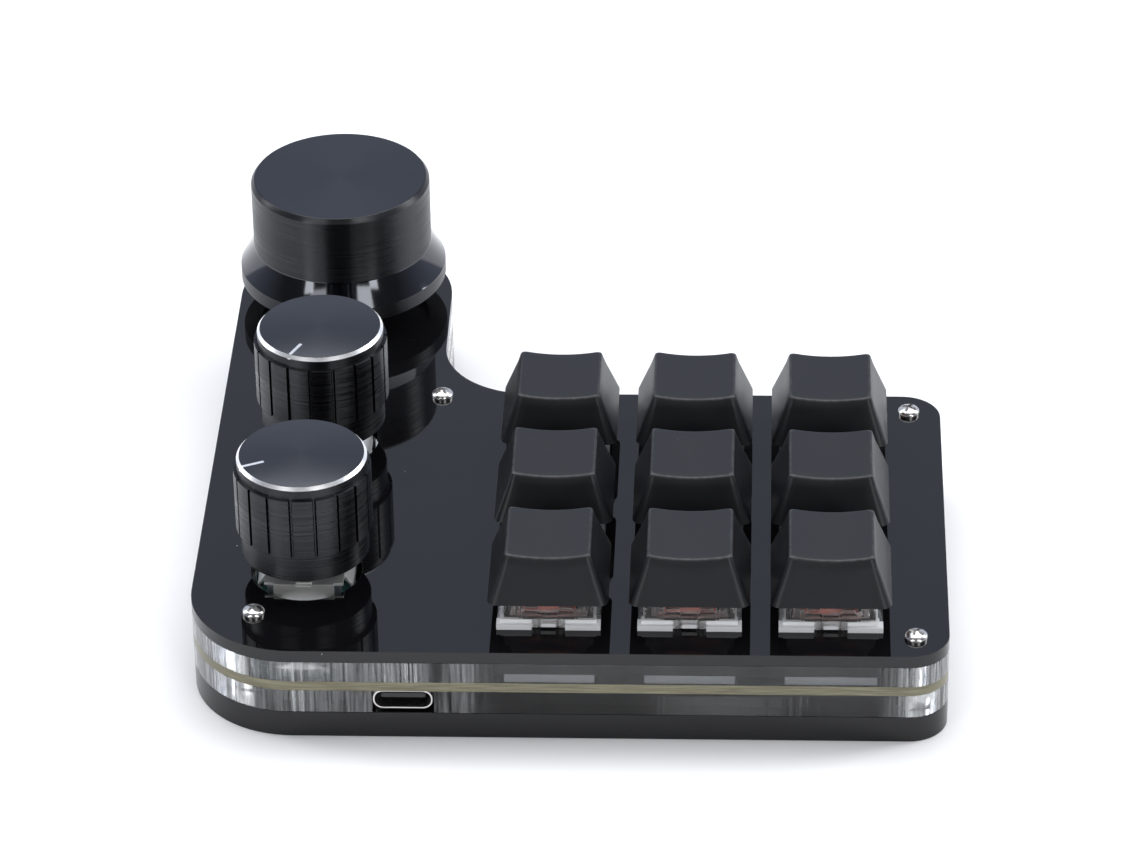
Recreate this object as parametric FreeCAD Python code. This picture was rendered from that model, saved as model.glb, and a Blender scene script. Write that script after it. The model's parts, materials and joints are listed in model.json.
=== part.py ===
import FreeCAD
import Part
import math
import os

# Macro keypad with nine key switches and three rotary dials, in millimetres.
# The case is a stack of laser-cut sheets: a glossy top plate, a clear spacer, the circuit
# board, a second clear spacer and a thick bottom plate, held by small screws and standoffs.
# Pieces are drawn in plan coordinates: x from the left edge, y from the front edge, z up from
# the table. On saving, each is moved so that the origin is under the middle of the outline.

V = FreeCAD.Vector

# Outline of the stack, seen from above: a key block on the right and a long arm for the dials.
# Margins are from the middle of the nearest key to the edge.
ARM_WIDTH = 34.8
KEY_LEFT_MARGIN = 19.7
KEY_RIGHT_MARGIN = 17.7
KEY_FRONT_MARGIN = 13.9
KEY_BACK_MARGIN = 14.1
FRONT_LEFT_R = 16.0
INNER_CORNER_R = 14.0
RIGHT_CORNER_R = 6.0

# Thickness of each layer, from the table up
BOTTOM_PLATE_T = 4.5
LOWER_SPACER_T = 3.9
BOARD_T = 1.6
UPPER_SPACER_T = 3.5
TOP_PLATE_T = 2.0

# Clearances between pieces
FIT = 0.05
LOOSE = 0.3
REST_GAP = 0.1

# Small round forms inside the switches and around the screws have this many flat sides
SMALL_SIDES = 12

# Key layout
KEY_PITCH_X = 21.1
KEY_PITCH_Y = 22.25
KEY_TRAVEL = 4.0
SWITCH_CUTOUT = 14.0

# Key switch, with heights counted from the top face of the top plate
FLANGE_SIZE = 15.6
FLANGE_T = 0.9
TIER_SIZE = 14.4
TIER_TOP = 1.5
SWITCH_BODY_TAPER = 0.4
SWITCH_BOARD_GAP = 0.5
LATCH_RECESS_W = 5.0
LATCH_W = 3.2
POST_R = 2.0
POST_BELOW_BOARD = 1.2
POLE_R = 1.1
SPRING_R = 2.0
SPRING_WIRE = 0.4
SPRING_SEAT_DEPTH = 1.6
HOUSING_BASE = 13.4
HOUSING_TOP_W = 10.2
HOUSING_TOP_D = 10.8
HOUSING_STEP = 2.4
HOUSING_TOP = 6.6
HOUSING_WALL = 0.8
ROOF_T = 1.2
COLLAR_W = 7.1
COLLAR_D = 5.8
SHOULDER_W = 9.0
SHOULDER_D = 6.8
SHOULDER_T = 3.7
CROSS_SPAN = 4.0
CROSS_T = 1.3
CROSS_H = 3.6
CONTACT_W = 1.0
CONTACT_T = 0.5
CONTACT_SPOTS = [(-3.81, 2.54), (2.54, 5.08)]

# Keycap, with heights counted from the lower edge of its skirt
CAP_BASE = 18.1
CAP_TOP_W = 12.4
CAP_TOP_D = 13.1
CAP_H = 7.6
CAP_SKIRT_GAP = 5.2
CAP_CORNER_R = 1.4
CAP_DISH = 0.65
CAP_WALL = 1.25
CAP_SOCKET_R = 2.7
CAP_ROOF = 5.7

# Dials: how far the row of axes lies left of the arm's middle, and each distance to the next
DIAL_SHIFT = 0.3
FRONT_DIAL_Y = 21.9
SMALL_DIAL_PITCH = 36.6
LARGE_DIAL_PITCH = 44.3
PLATE_HOLE_R = 8.5

# Rotary encoder, with heights counted from the top of the circuit board
ENCODER_BASE_W = 12.0
ENCODER_BASE_D = 11.7
ENCODER_LUG_W = 13.2
ENCODER_LUG_D = 8.0
ENCODER_BASE_H = 4.2
ENCODER_FLOOR = 0.9
ENCODER_POCKET_R = 5.0
ROTOR_T = 2.6
COVER_H = 6.85
COVER_SHEET = 0.4
COVER_W = 12.0
COVER_SKIRT_W = 9.2
COVER_SKIRT_Z = 1.5
COVER_NOTCH_W = 2.4
WING_REACH = 7.3
WING_SPAN = 7.2
WING_KNEE_Z = 5.0
WING_BOTTOM_Z = 3.0
LEG_W = 2.0
PIN_BELOW_BOARD = 1.4
PIN_W = 0.8
PIN_T = 0.3
PIN_PITCH = 2.5
PIN_ROW_Y = 4.6
BUSHING_R = 3.5
BUSHING_BOSS_H = 4.0
SHAFT_R = 3.0
SHAFT_ABOVE_COVER = 15.0
SHAFT_FLAT = 1.5
SHAFT_FLAT_L = 10.0
SHAFT_TAIL_R = 2.2
PUSH_TRAVEL = 0.5

# Small dial knob, with heights counted from its lower edge
SMALL_KNOB_GAP = 4.1
SMALL_SKIRT_R = 9.65
SMALL_SKIRT_H = 4.7
SMALL_RIB_R = 10.4
SMALL_RIB_TOP = 14.8
SMALL_BAND_R = 9.85
SMALL_BAND_TOP = 16.3
SMALL_FACE_R = 9.3
SMALL_KNOB_H = 16.9
SMALL_GROOVES = 18
SMALL_GROOVE_W = 0.5
POINTER_INNER_R = 6.4
POINTER_W = 0.8
POINTER_DEPTH = 0.2
FRONT_POINTER_ANGLE = -155.0
MIDDLE_POINTER_ANGLE = -115.0

# Large dial knob, with heights counted from its lower edge
LARGE_KNOB_GAP = 4.5
LARGE_RIM_R = 16.8
LARGE_RIM_H = 2.6
LARGE_BODY_R = 14.55
LARGE_CONE_TOP = 6.3
LARGE_EDGE_Z = 17.4
LARGE_FACE_R = 13.95
LARGE_KNOB_H = 18.1
LARGE_UNDERCUT_R = 14.0
LARGE_UNDERCUT = 1.2

# Knob bore and its grub screw
NUT_RECESS_R = 4.3
NUT_RECESS_ABOVE_BOSS = 0.8
GRUB_R = 1.25
GRUB_L = 4.5

# Screws and standoffs
SCREW_R = 1.0
SCREW_HEAD_R = 1.75
SCREW_HEAD_H = 1.25
SCREW_CROSS_W = 0.45
SCREW_CROSS_SPAN = 2.0
SCREW_CROSS_DEPTH = 0.7
SCREW_EDGE = 5.0
STANDOFF_R = 2.3
STANDOFF_SIDES = 6
THREAD_GRIP = 1.8
BOTTOM_HEAD_RECESS = 1.6

# Hollows of the spacers: wall at the front and back, and room beside the outer switches
CAVITY_WALL = 4.0
CAVITY_ROOM_UPPER = 1.4
CAVITY_ROOM_LOWER = 3.6
CAVITY_ROOM_RIGHT = 0.4

# USB-C inlet, its middle counted from the arm's right edge
PORT_SHIFT = -2.0
PORT_W = 8.94
PORT_H = 3.26
PORT_L = 7.35
PORT_R = 1.5
PORT_WALL = 0.25
PORT_SET_BACK = 0.2
PORT_SLOT_W = 9.3
PORT_TONGUE_W = 6.7
PORT_TONGUE_T = 0.7
PORT_TONGUE_L = 4.5
PORT_BLOCK_L = 1.8

# Controller chip and small parts under the board
CHIP_W = 3.9
CHIP_L = 9.9
CHIP_H = 1.5
SMALL_PART_W = 1.2
SMALL_PART_L = 2.0
SMALL_PART_H = 0.9
SMALL_PART_PITCH = 4.0

# Heights and places that follow from the sizes above
ROWS = ["front", "middle", "back"]
COLUMNS = ["left", "centre", "right"]
FIRST_KEY_X = ARM_WIDTH + KEY_LEFT_MARGIN
FIRST_KEY_Y = KEY_FRONT_MARGIN
LAST_KEY_X = FIRST_KEY_X + (len(COLUMNS) - 1) * KEY_PITCH_X
LAST_KEY_Y = FIRST_KEY_Y + (len(ROWS) - 1) * KEY_PITCH_Y
BODY_WIDTH = LAST_KEY_X + KEY_RIGHT_MARGIN
KEY_BLOCK_DEPTH = LAST_KEY_Y + KEY_BACK_MARGIN
DIAL_AXIS_X = ARM_WIDTH / 2 - DIAL_SHIFT
MIDDLE_DIAL_Y = FRONT_DIAL_Y + SMALL_DIAL_PITCH
ARM_END_Y = MIDDLE_DIAL_Y + LARGE_DIAL_PITCH
BODY_DEPTH = ARM_END_Y + ARM_WIDTH / 2
PORT_X = ARM_WIDTH + PORT_SHIFT
BOTTOM_TOP = BOTTOM_PLATE_T
BOARD_BOTTOM = BOTTOM_TOP + LOWER_SPACER_T
BOARD_TOP = BOARD_BOTTOM + BOARD_T
PLATE_BOTTOM = BOARD_TOP + UPPER_SPACER_T
DECK = PLATE_BOTTOM + TOP_PLATE_T
SWITCH_BODY_DEPTH = TOP_PLATE_T + UPPER_SPACER_T - SWITCH_BOARD_GAP
COVER_TOP = BOARD_TOP + COVER_H
BUSHING_TOP = COVER_TOP + BUSHING_BOSS_H
SHAFT_TOP = COVER_TOP + SHAFT_ABOVE_COVER
SHAFT_FLAT_BOTTOM = SHAFT_TOP - SHAFT_FLAT_L
CHIP_X = FIRST_KEY_X + KEY_PITCH_X / 2
CHIP_Y = FIRST_KEY_Y + KEY_PITCH_Y / 2

KEYS = [
    (row + "_" + column, FIRST_KEY_X + i * KEY_PITCH_X, FIRST_KEY_Y + j * KEY_PITCH_Y)
    for j, row in enumerate(ROWS)
    for i, column in enumerate(COLUMNS)
]
DIALS = [
    ("front", FRONT_DIAL_Y),
    ("middle", MIDDLE_DIAL_Y),
    ("large", ARM_END_Y),
]
SCREW_SPOTS = [
    (DIAL_AXIS_X - 7.1, 9.8),
    (BODY_WIDTH - SCREW_EDGE, SCREW_EDGE),
    (BODY_WIDTH - SCREW_EDGE, KEY_BLOCK_DEPTH - SCREW_EDGE),
    (ARM_WIDTH + 0.2, KEY_BLOCK_DEPTH - 1.0),
    (ARM_WIDTH / 2, BODY_DEPTH - SCREW_EDGE),
]


# Basic shapes

def block(x, y, z0, z1, width, depth):
    """Box centred on x, y, from height z0 to z1."""
    return Part.makeBox(width, depth, z1 - z0, V(x - width / 2, y - depth / 2, z0))


def cylinder(x, y, z0, z1, r):
    """Upright cylinder from height z0 to z1."""
    return Part.makeCylinder(r, z1 - z0, V(x, y, z0))


def arc(x, y, z, r, start, end):
    """Arc about x, y, between two angles in degrees."""
    def at(angle):
        a = math.radians(angle)
        return V(x + r * math.cos(a), y + r * math.sin(a), z)
    return Part.Arc(at(start), at((start + end) / 2), at(end)).toShape()


def joined(arcs):
    """Closed wire of arcs in order, with a straight edge from each to the next."""
    edges = []
    for this, following in zip(arcs, arcs[1:] + arcs[:1]):
        edges.append(this)
        a = this.Vertexes[-1].Point
        b = following.Vertexes[0].Point
        if a.distanceToPoint(b) > 1e-6:
            edges.append(Part.makeLine(a, b))
    return Part.Wire(edges)


def rounded_wire(x, y, z, width, depth, r):
    """Rectangle with round corners, centred on x, y, at height z."""
    w = width / 2 - r
    d = depth / 2 - r
    return joined([
        arc(x + w, y - d, z, r, -90, 0),
        arc(x + w, y + d, z, r, 0, 90),
        arc(x - w, y + d, z, r, 90, 180),
        arc(x - w, y - d, z, r, 180, 270),
    ])


def rounded_block(x, y, z0, z1, width, depth, r):
    """Upright prism with a rounded rectangle as its plan."""
    face = Part.Face(rounded_wire(x, y, z0, width, depth, r))
    return face.extrude(V(0, 0, z1 - z0))


def tapered(z0, width0, depth0, z1, width1, depth1):
    """Solid with four flat leaning sides, between two rectangles centred on the axis."""
    wedge = Part.makeWedge(-width0 / 2, z0, -depth0 / 2, -depth1 / 2, -width1 / 2,
                           width0 / 2, z1, depth0 / 2, depth1 / 2, width1 / 2)
    return wedge.rotated(V(0, 0, 0), V(1, 0, 0), 90)


def many_sided(x, y, z0, z1, r, sides=SMALL_SIDES):
    """Upright prism with a regular polygon as its plan, its corners at radius r."""
    points = []
    for i in range(sides):
        a = 2 * math.pi * i / sides
        points.append(V(x + r * math.cos(a), y + r * math.sin(a), z0))
    face = Part.Face(Part.makePolygon(points + points[:1]))
    return face.extrude(V(0, 0, z1 - z0))


def turned(profile):
    """Solid of revolution about the Z axis from (radius, height) points."""
    points = [V(r, 0, z) for r, z in profile]
    face = Part.Face(Part.makePolygon(points + points[:1]))
    return face.revolve(V(0, 0, 0), V(0, 0, 1), 360)


def moved(shape, x, y, z=0.0):
    """Copy of a shape, moved."""
    return shape.translated(V(x, y, z))


def spun(shape, angle):
    """Copy of a shape, turned about the Z axis by an angle in degrees."""
    return shape.rotated(V(0, 0, 0), V(0, 0, 1), angle)


def save(name, shapes):
    """Write one node; a list becomes one node of separate solids."""
    if isinstance(shapes, list):
        shape = Part.makeCompound(shapes)
    else:
        shape = shapes
    centred = moved(shape, -BODY_WIDTH / 2, -BODY_DEPTH / 2)
    centred.exportStep("parts/" + name + ".step")


# Case layers

def outline_sheet(z0, z1):
    """Full outline of the stack as a flat sheet from height z0 to z1."""
    right = BODY_WIDTH - RIGHT_CORNER_R
    inner_x = ARM_WIDTH + INNER_CORNER_R
    inner_y = KEY_BLOCK_DEPTH + INNER_CORNER_R
    wire = joined([
        arc(FRONT_LEFT_R, FRONT_LEFT_R, z0, FRONT_LEFT_R, 180, 270),
        arc(right, RIGHT_CORNER_R, z0, RIGHT_CORNER_R, -90, 0),
        arc(right, KEY_BLOCK_DEPTH - RIGHT_CORNER_R, z0, RIGHT_CORNER_R, 0, 90),
        arc(inner_x, inner_y, z0, INNER_CORNER_R, 270, 180),
        arc(ARM_WIDTH / 2, ARM_END_Y, z0, ARM_WIDTH / 2, 0, 180),
    ])
    return Part.Face(wire).extrude(V(0, 0, z1 - z0))


def screw_holes(z0, z1, r):
    """A drill at each screw spot."""
    return [many_sided(x, y, z0, z1, r) for x, y in SCREW_SPOTS]


def dial_holes(z0, z1):
    """Round clearance for each encoder."""
    return [cylinder(DIAL_AXIS_X, y, z0, z1, PLATE_HOLE_R) for name, y in DIALS]


def key_cavity(z0, z1, room):
    """Hollow of a spacer around the nine switches."""
    left = FIRST_KEY_X - SWITCH_CUTOUT / 2 - room
    right = LAST_KEY_X + SWITCH_CUTOUT / 2 + CAVITY_ROOM_RIGHT
    depth = KEY_BLOCK_DEPTH - 2 * CAVITY_WALL
    return Part.makeBox(right - left, depth, z1 - z0, V(left, CAVITY_WALL, z0))


def top_plate():
    cuts = [block(x, y, PLATE_BOTTOM, DECK, SWITCH_CUTOUT, SWITCH_CUTOUT) for name, x, y in KEYS]
    cuts += dial_holes(PLATE_BOTTOM, DECK)
    cuts += screw_holes(PLATE_BOTTOM, DECK, SCREW_R + FIT)
    return outline_sheet(PLATE_BOTTOM, DECK).cut(cuts)


def upper_spacer():
    cuts = [key_cavity(BOARD_TOP, PLATE_BOTTOM, CAVITY_ROOM_UPPER)]
    cuts += dial_holes(BOARD_TOP, PLATE_BOTTOM)
    cuts += screw_holes(BOARD_TOP, PLATE_BOTTOM, SCREW_R + FIT)
    return outline_sheet(BOARD_TOP, PLATE_BOTTOM).cut(cuts)


def circuit_board():
    cuts = screw_holes(BOARD_BOTTOM, BOARD_TOP, SCREW_R + FIT)
    for name, x, y in KEYS:
        cuts.append(many_sided(x, y, BOARD_BOTTOM, BOARD_TOP, POST_R + FIT))
        for dx, dy in CONTACT_SPOTS:
            hole = block(x + dx, y + dy, BOARD_BOTTOM, BOARD_TOP,
                         CONTACT_W + 2 * FIT, CONTACT_T + 2 * FIT)
            cuts.append(hole)
    for name, y in DIALS:
        for side in (-1, 1):
            leg_x = DIAL_AXIS_X + side * (WING_REACH - COVER_SHEET / 2)
            cuts.append(block(leg_x, y, BOARD_BOTTOM, BOARD_TOP,
                              COVER_SHEET + 2 * FIT, LEG_W + 2 * FIT))
        for dx, dy in encoder_pin_spots():
            cuts.append(block(DIAL_AXIS_X + dx, y + dy, BOARD_BOTTOM, BOARD_TOP,
                              PIN_W + 2 * FIT, PIN_T + 2 * FIT))
    return outline_sheet(BOARD_BOTTOM, BOARD_TOP).cut(cuts)


def lower_spacer():
    slot_l = PORT_SET_BACK + PORT_L + LOOSE
    cuts = [key_cavity(BOTTOM_TOP, BOARD_BOTTOM, CAVITY_ROOM_LOWER)]
    cuts.append(Part.makeBox(PORT_SLOT_W, slot_l, LOWER_SPACER_T,
                             V(PORT_X - PORT_SLOT_W / 2, 0, BOTTOM_TOP)))
    cuts += dial_holes(BOTTOM_TOP, BOARD_BOTTOM)
    cuts += [cylinder(x, y, BOTTOM_TOP, BOARD_BOTTOM, STANDOFF_R + FIT) for x, y in SCREW_SPOTS]
    return outline_sheet(BOTTOM_TOP, BOARD_BOTTOM).cut(cuts)


def bottom_plate():
    cuts = screw_holes(BOTTOM_HEAD_RECESS, BOTTOM_TOP, SCREW_R + FIT)
    cuts += [cylinder(x, y, 0, BOTTOM_HEAD_RECESS, SCREW_HEAD_R + FIT) for x, y in SCREW_SPOTS]
    return outline_sheet(0, BOTTOM_TOP).cut(cuts)


# Fasteners, drawn with the seat of the head at z = 0 and the shank downwards

def pan_head_screw(length):
    """Cross-headed screw; the shank is drawn at the thread's outer size."""
    head = cylinder(0, 0, 0, SCREW_HEAD_H, SCREW_HEAD_R)
    screw = head.fuse(many_sided(0, 0, -length, 0, SCREW_R))
    floor = SCREW_HEAD_H - SCREW_CROSS_DEPTH
    slot_a = block(0, 0, floor, SCREW_HEAD_H, SCREW_CROSS_SPAN, SCREW_CROSS_W)
    slot_b = block(0, 0, floor, SCREW_HEAD_H, SCREW_CROSS_W, SCREW_CROSS_SPAN)
    return screw.cut(slot_a.fuse(slot_b))


def top_screws():
    length = TOP_PLATE_T + UPPER_SPACER_T + BOARD_T + THREAD_GRIP
    screw = pan_head_screw(length)
    return [moved(screw, x, y, DECK) for x, y in SCREW_SPOTS]


def bottom_screws():
    length = BOTTOM_PLATE_T - BOTTOM_HEAD_RECESS + THREAD_GRIP
    screw = pan_head_screw(length).rotated(V(0, 0, 0), V(1, 0, 0), 180)
    return [moved(screw, x, y, BOTTOM_HEAD_RECESS) for x, y in SCREW_SPOTS]


def standoffs():
    """Hexagonal brass spacers with a thread from end to end."""
    outer = many_sided(0, 0, BOTTOM_TOP, BOARD_BOTTOM, STANDOFF_R, STANDOFF_SIDES)
    standoff = outer.cut(many_sided(0, 0, BOTTOM_TOP, BOARD_BOTTOM, SCREW_R + FIT))
    return [moved(standoff, x, y) for x, y in SCREW_SPOTS]


# USB-C inlet, drawn upright and then laid on its side with its mouth to the front

def laid_port(shape, y_back):
    """Turn an upright prism so that its top faces the front and its base is at y_back."""
    laid = shape.rotated(V(0, 0, 0), V(1, 0, 0), 90)
    return moved(laid, PORT_X, y_back, BOARD_BOTTOM - PORT_H / 2)


def port_shell():
    outer = rounded_block(0, 0, 0, PORT_L, PORT_W, PORT_H, PORT_R)
    inner = rounded_block(0, 0, 0, PORT_L, PORT_W - 2 * PORT_WALL, PORT_H - 2 * PORT_WALL,
                          PORT_R - PORT_WALL)
    return laid_port(outer.cut(inner), PORT_SET_BACK + PORT_L)


def port_tongue():
    width = PORT_W - 2 * PORT_WALL - 2 * FIT
    height = PORT_H - 2 * PORT_WALL - 2 * FIT
    rear = rounded_block(0, 0, 0, PORT_BLOCK_L, width, height, PORT_R - PORT_WALL - FIT)
    tongue = block(0, 0, 0, PORT_BLOCK_L + PORT_TONGUE_L, PORT_TONGUE_W, PORT_TONGUE_T)
    return laid_port(rear.fuse(tongue), PORT_SET_BACK + PORT_L)


def controller_parts():
    """Controller chip and a row of small parts on the underside of the board."""
    chip = block(CHIP_X, CHIP_Y, BOARD_BOTTOM - CHIP_H, BOARD_BOTTOM, CHIP_W, CHIP_L)
    parts = [chip]
    for i in (-1, 0, 1):
        y = CHIP_Y + i * SMALL_PART_PITCH
        parts.append(block(CHIP_X + CHIP_W, y, BOARD_BOTTOM - SMALL_PART_H, BOARD_BOTTOM,
                           SMALL_PART_W, SMALL_PART_L))
    return parts


# Key switch, drawn about its own axis with z = 0 at the top plate's upper face

SHOULDER_TOP = HOUSING_TOP - ROOF_T - REST_GAP
SHOULDER_BOTTOM = SHOULDER_TOP - SHOULDER_T
POCKET_FLOOR = SHOULDER_BOTTOM - KEY_TRAVEL - LOOSE
SPRING_FLOOR = POCKET_FLOOR - SPRING_SEAT_DEPTH
POST_BOTTOM = -(TOP_PLATE_T + UPPER_SPACER_T + BOARD_T + POST_BELOW_BOARD)
BORE_FLOOR = POST_BOTTOM + 2 * LOOSE
POLE_BOTTOM = BORE_FLOOR + KEY_TRAVEL + REST_GAP


def lower_housing():
    """White lower half with its flange, latch recesses, pocket and centre post."""
    body_w = SWITCH_CUTOUT - 2 * FIT
    low_w = body_w - SWITCH_BODY_TAPER
    flange = block(0, 0, 0, FLANGE_T, FLANGE_SIZE, FLANGE_SIZE)
    tier = block(0, 0, FLANGE_T, TIER_TOP, TIER_SIZE, TIER_SIZE)
    body = tapered(-SWITCH_BODY_DEPTH, low_w, low_w, 0, body_w, body_w)
    post = many_sided(0, 0, POST_BOTTOM, -SWITCH_BODY_DEPTH, POST_R)
    housing = body.fuse([flange, tier, post])
    recess_depth = (FLANGE_SIZE - HOUSING_BASE) / 2 + FIT
    recess_y = FLANGE_SIZE / 2 - recess_depth / 2
    cuts = [
        block(0, -recess_y, 0, TIER_TOP, LATCH_RECESS_W, recess_depth),
        block(0, recess_y, 0, TIER_TOP, LATCH_RECESS_W, recess_depth),
        block(0, 0, POCKET_FLOOR, TIER_TOP, SHOULDER_W + 4 * LOOSE, SHOULDER_D + 4 * LOOSE),
        many_sided(0, 0, SPRING_FLOOR, POCKET_FLOOR, SPRING_R + LOOSE),
        many_sided(0, 0, BORE_FLOOR, SPRING_FLOOR, POLE_R + LOOSE),
    ]
    return housing.cut(cuts)


def upper_housing():
    """Clear upper half: straight foot, leaning walls, stem opening and two latches."""
    foot = block(0, 0, TIER_TOP, HOUSING_STEP, HOUSING_BASE, HOUSING_BASE)
    cone = tapered(HOUSING_STEP, HOUSING_BASE, HOUSING_BASE,
                   HOUSING_TOP, HOUSING_TOP_W, HOUSING_TOP_D)
    latch_depth = (TIER_SIZE - HOUSING_BASE) / 2 + HOUSING_WALL
    latch_y = TIER_SIZE / 2 - latch_depth / 2
    latches = []
    for side in (-1, 1):
        latches.append(block(0, side * latch_y, TIER_TOP, HOUSING_STEP, LATCH_W, latch_depth))
        latches.append(block(0, side * (TIER_SIZE + HOUSING_BASE + 4 * FIT) / 4, REST_GAP,
                             TIER_TOP, LATCH_W, (TIER_SIZE - HOUSING_BASE) / 2 - 2 * FIT))
    shell = foot.fuse([cone] + latches)
    wall = 2 * HOUSING_WALL
    roof = HOUSING_TOP - ROOF_T
    cavity = tapered(TIER_TOP, HOUSING_BASE - wall, HOUSING_BASE - wall,
                     roof, SHOULDER_W + HOUSING_WALL, SHOULDER_D + wall)
    opening = block(0, 0, roof, HOUSING_TOP, COLLAR_W + LOOSE, COLLAR_D + LOOSE)
    return shell.cut([cavity, opening])


def stem():
    """Sliding stem: cross for the cap, collar, shoulder and guide pole."""
    top = HOUSING_TOP + CROSS_H
    cross = block(0, 0, HOUSING_TOP, top, CROSS_SPAN, CROSS_T)
    cross = cross.fuse(block(0, 0, HOUSING_TOP, top, CROSS_T, CROSS_SPAN))
    collar = block(0, 0, SHOULDER_TOP, HOUSING_TOP, COLLAR_W, COLLAR_D)
    shoulder = block(0, 0, SHOULDER_BOTTOM, SHOULDER_TOP, SHOULDER_W, SHOULDER_D)
    pole = many_sided(0, 0, POLE_BOTTOM, SHOULDER_BOTTOM, POLE_R)
    return cross.fuse([collar, shoulder, pole])


def spring():
    """Space that the coil spring fills between its seat and the stem."""
    outer = many_sided(0, 0, SPRING_FLOOR, SHOULDER_BOTTOM, SPRING_R)
    return outer.cut(many_sided(0, 0, SPRING_FLOOR, SHOULDER_BOTTOM, SPRING_R - SPRING_WIRE))


def switch_contacts():
    """The two pins of one switch, from its underside down through the board."""
    pins = []
    for dx, dy in CONTACT_SPOTS:
        pins.append(block(dx, dy, POST_BOTTOM, -SWITCH_BODY_DEPTH, CONTACT_W, CONTACT_T))
    return pins


def keycap():
    """Hollow cap with leaning sides, a dished top and a socket for the cross."""
    body = tapered(0, CAP_BASE, CAP_BASE, CAP_H, CAP_TOP_W, CAP_TOP_D)
    corners = [e for e in body.Edges if e.BoundBox.ZLength > CAP_H / 2]
    body = body.makeFillet(CAP_CORNER_R, corners)
    dish_r = (CAP_TOP_W ** 2 / 4 + CAP_DISH ** 2) / (2 * CAP_DISH)
    dish = Part.makeCylinder(dish_r, CAP_BASE, V(0, -CAP_BASE / 2, CAP_H - CAP_DISH + dish_r),
                             V(0, 1, 0))
    inner = tapered(0, CAP_BASE - 2 * CAP_WALL, CAP_BASE - 2 * CAP_WALL,
                    CAP_ROOF, CAP_TOP_W - CAP_WALL, CAP_TOP_D - CAP_WALL)
    socket_bottom = HOUSING_TOP - CAP_SKIRT_GAP
    cross_top = socket_bottom + CROSS_H + REST_GAP
    socket = many_sided(0, 0, socket_bottom, CAP_ROOF, CAP_SOCKET_R)
    span = CROSS_SPAN + 2 * FIT
    thick = CROSS_T + 2 * FIT
    slot = block(0, 0, socket_bottom, cross_top, span, thick)
    slot = slot.fuse(block(0, 0, socket_bottom, cross_top, thick, span))
    return body.cut([dish, inner]).fuse(socket.cut(slot))


# Rotary encoder, drawn about its own axis with z = 0 at the top of the circuit board

def encoder_pin_spots():
    """Three signal pins at the front of an encoder and two push-switch pins behind."""
    front = [(i * PIN_PITCH, -PIN_ROW_Y) for i in (-1, 0, 1)]
    back = [(i * PIN_PITCH, PIN_ROW_Y) for i in (-1, 1)]
    return front + back


def encoder_base():
    """Moulded base with a lug on each side and a round pocket for the rotor."""
    body = block(0, 0, 0, ENCODER_BASE_H, ENCODER_BASE_W, ENCODER_BASE_D)
    body = body.fuse(block(0, 0, 0, ENCODER_BASE_H, ENCODER_LUG_W, ENCODER_LUG_D))
    return body.cut(cylinder(0, 0, ENCODER_FLOOR, ENCODER_BASE_H, ENCODER_POCKET_R))


def encoder_pins():
    bottom = -(BOARD_T + PIN_BELOW_BOARD)
    return [block(dx, dy, bottom, 0, PIN_W, PIN_T) for dx, dy in encoder_pin_spots()]


def encoder_cover():
    """Folded steel cover: top sheet, front and back skirts, side wings and legs."""
    under = COVER_H - COVER_SHEET
    skirt_y = ENCODER_BASE_D / 2 + FIT + COVER_SHEET / 2
    sheet = block(0, 0, under, COVER_H, COVER_W, ENCODER_BASE_D)
    pieces = []
    cuts = [cylinder(0, 0, under, COVER_H, BUSHING_R + FIT)]
    for side in (-1, 1):
        lip_depth = skirt_y + COVER_SHEET / 2
        pieces.append(block(0, side * lip_depth / 2, under, COVER_H, COVER_SKIRT_W, lip_depth))
        pieces.append(block(0, side * skirt_y, COVER_SKIRT_Z, COVER_H,
                            COVER_SKIRT_W, COVER_SHEET))
        cuts.append(block(0, side * skirt_y, under, COVER_H, COVER_NOTCH_W, 2 * COVER_SHEET))
    knee_in = WING_REACH - COVER_SHEET
    root = COVER_W / 2
    wing_points = [
        (root - COVER_SHEET, COVER_H), (root, COVER_H), (WING_REACH, WING_KNEE_Z),
        (WING_REACH, WING_BOTTOM_Z), (knee_in, WING_BOTTOM_Z),
        (knee_in, WING_KNEE_Z), (root - COVER_SHEET, under),
    ]
    outline = [V(x, -WING_SPAN / 2, z) for x, z in wing_points]
    wing = Part.Face(Part.makePolygon(outline + outline[:1])).extrude(V(0, WING_SPAN, 0))
    leg_x = WING_REACH - COVER_SHEET / 2
    wing = wing.fuse(block(leg_x, 0, -(BOARD_T + PIN_BELOW_BOARD), WING_KNEE_Z,
                           COVER_SHEET, LEG_W))
    return sheet.fuse(pieces + [wing, spun(wing, 180)]).cut(cuts)


def encoder_bushing():
    """Die-cast plate over the base, with the round boss that guides the shaft."""
    under = COVER_H - COVER_SHEET
    plate = block(0, 0, ENCODER_BASE_H, under, COVER_W - 2 * COVER_SHEET - 2 * FIT,
                  ENCODER_BASE_D)
    boss = cylinder(0, 0, under, COVER_H + BUSHING_BOSS_H, BUSHING_R)
    bore = cylinder(0, 0, ENCODER_BASE_H, COVER_H + BUSHING_BOSS_H, SHAFT_R + FIT)
    return plate.fuse(boss).cut(bore)


def flat_cut(r, flat, z0, z1):
    """What is milled off a round bar to leave a flat on its back side."""
    return Part.makeBox(2 * r, r, z1 - z0, V(-r, flat, z0))


def tail_flat():
    return SHAFT_TAIL_R * 0.6


def encoder_rotor():
    """Wiper disc that the shaft's flatted tail drives."""
    bottom = ENCODER_FLOOR + LOOSE
    disc = cylinder(0, 0, bottom, bottom + ROTOR_T, ENCODER_POCKET_R - LOOSE)
    hole_r = SHAFT_TAIL_R + FIT
    hole = cylinder(0, 0, bottom, bottom + ROTOR_T, hole_r)
    hole = hole.cut(flat_cut(hole_r, tail_flat() + FIT, bottom, bottom + ROTOR_T))
    return disc.cut(hole)


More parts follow.
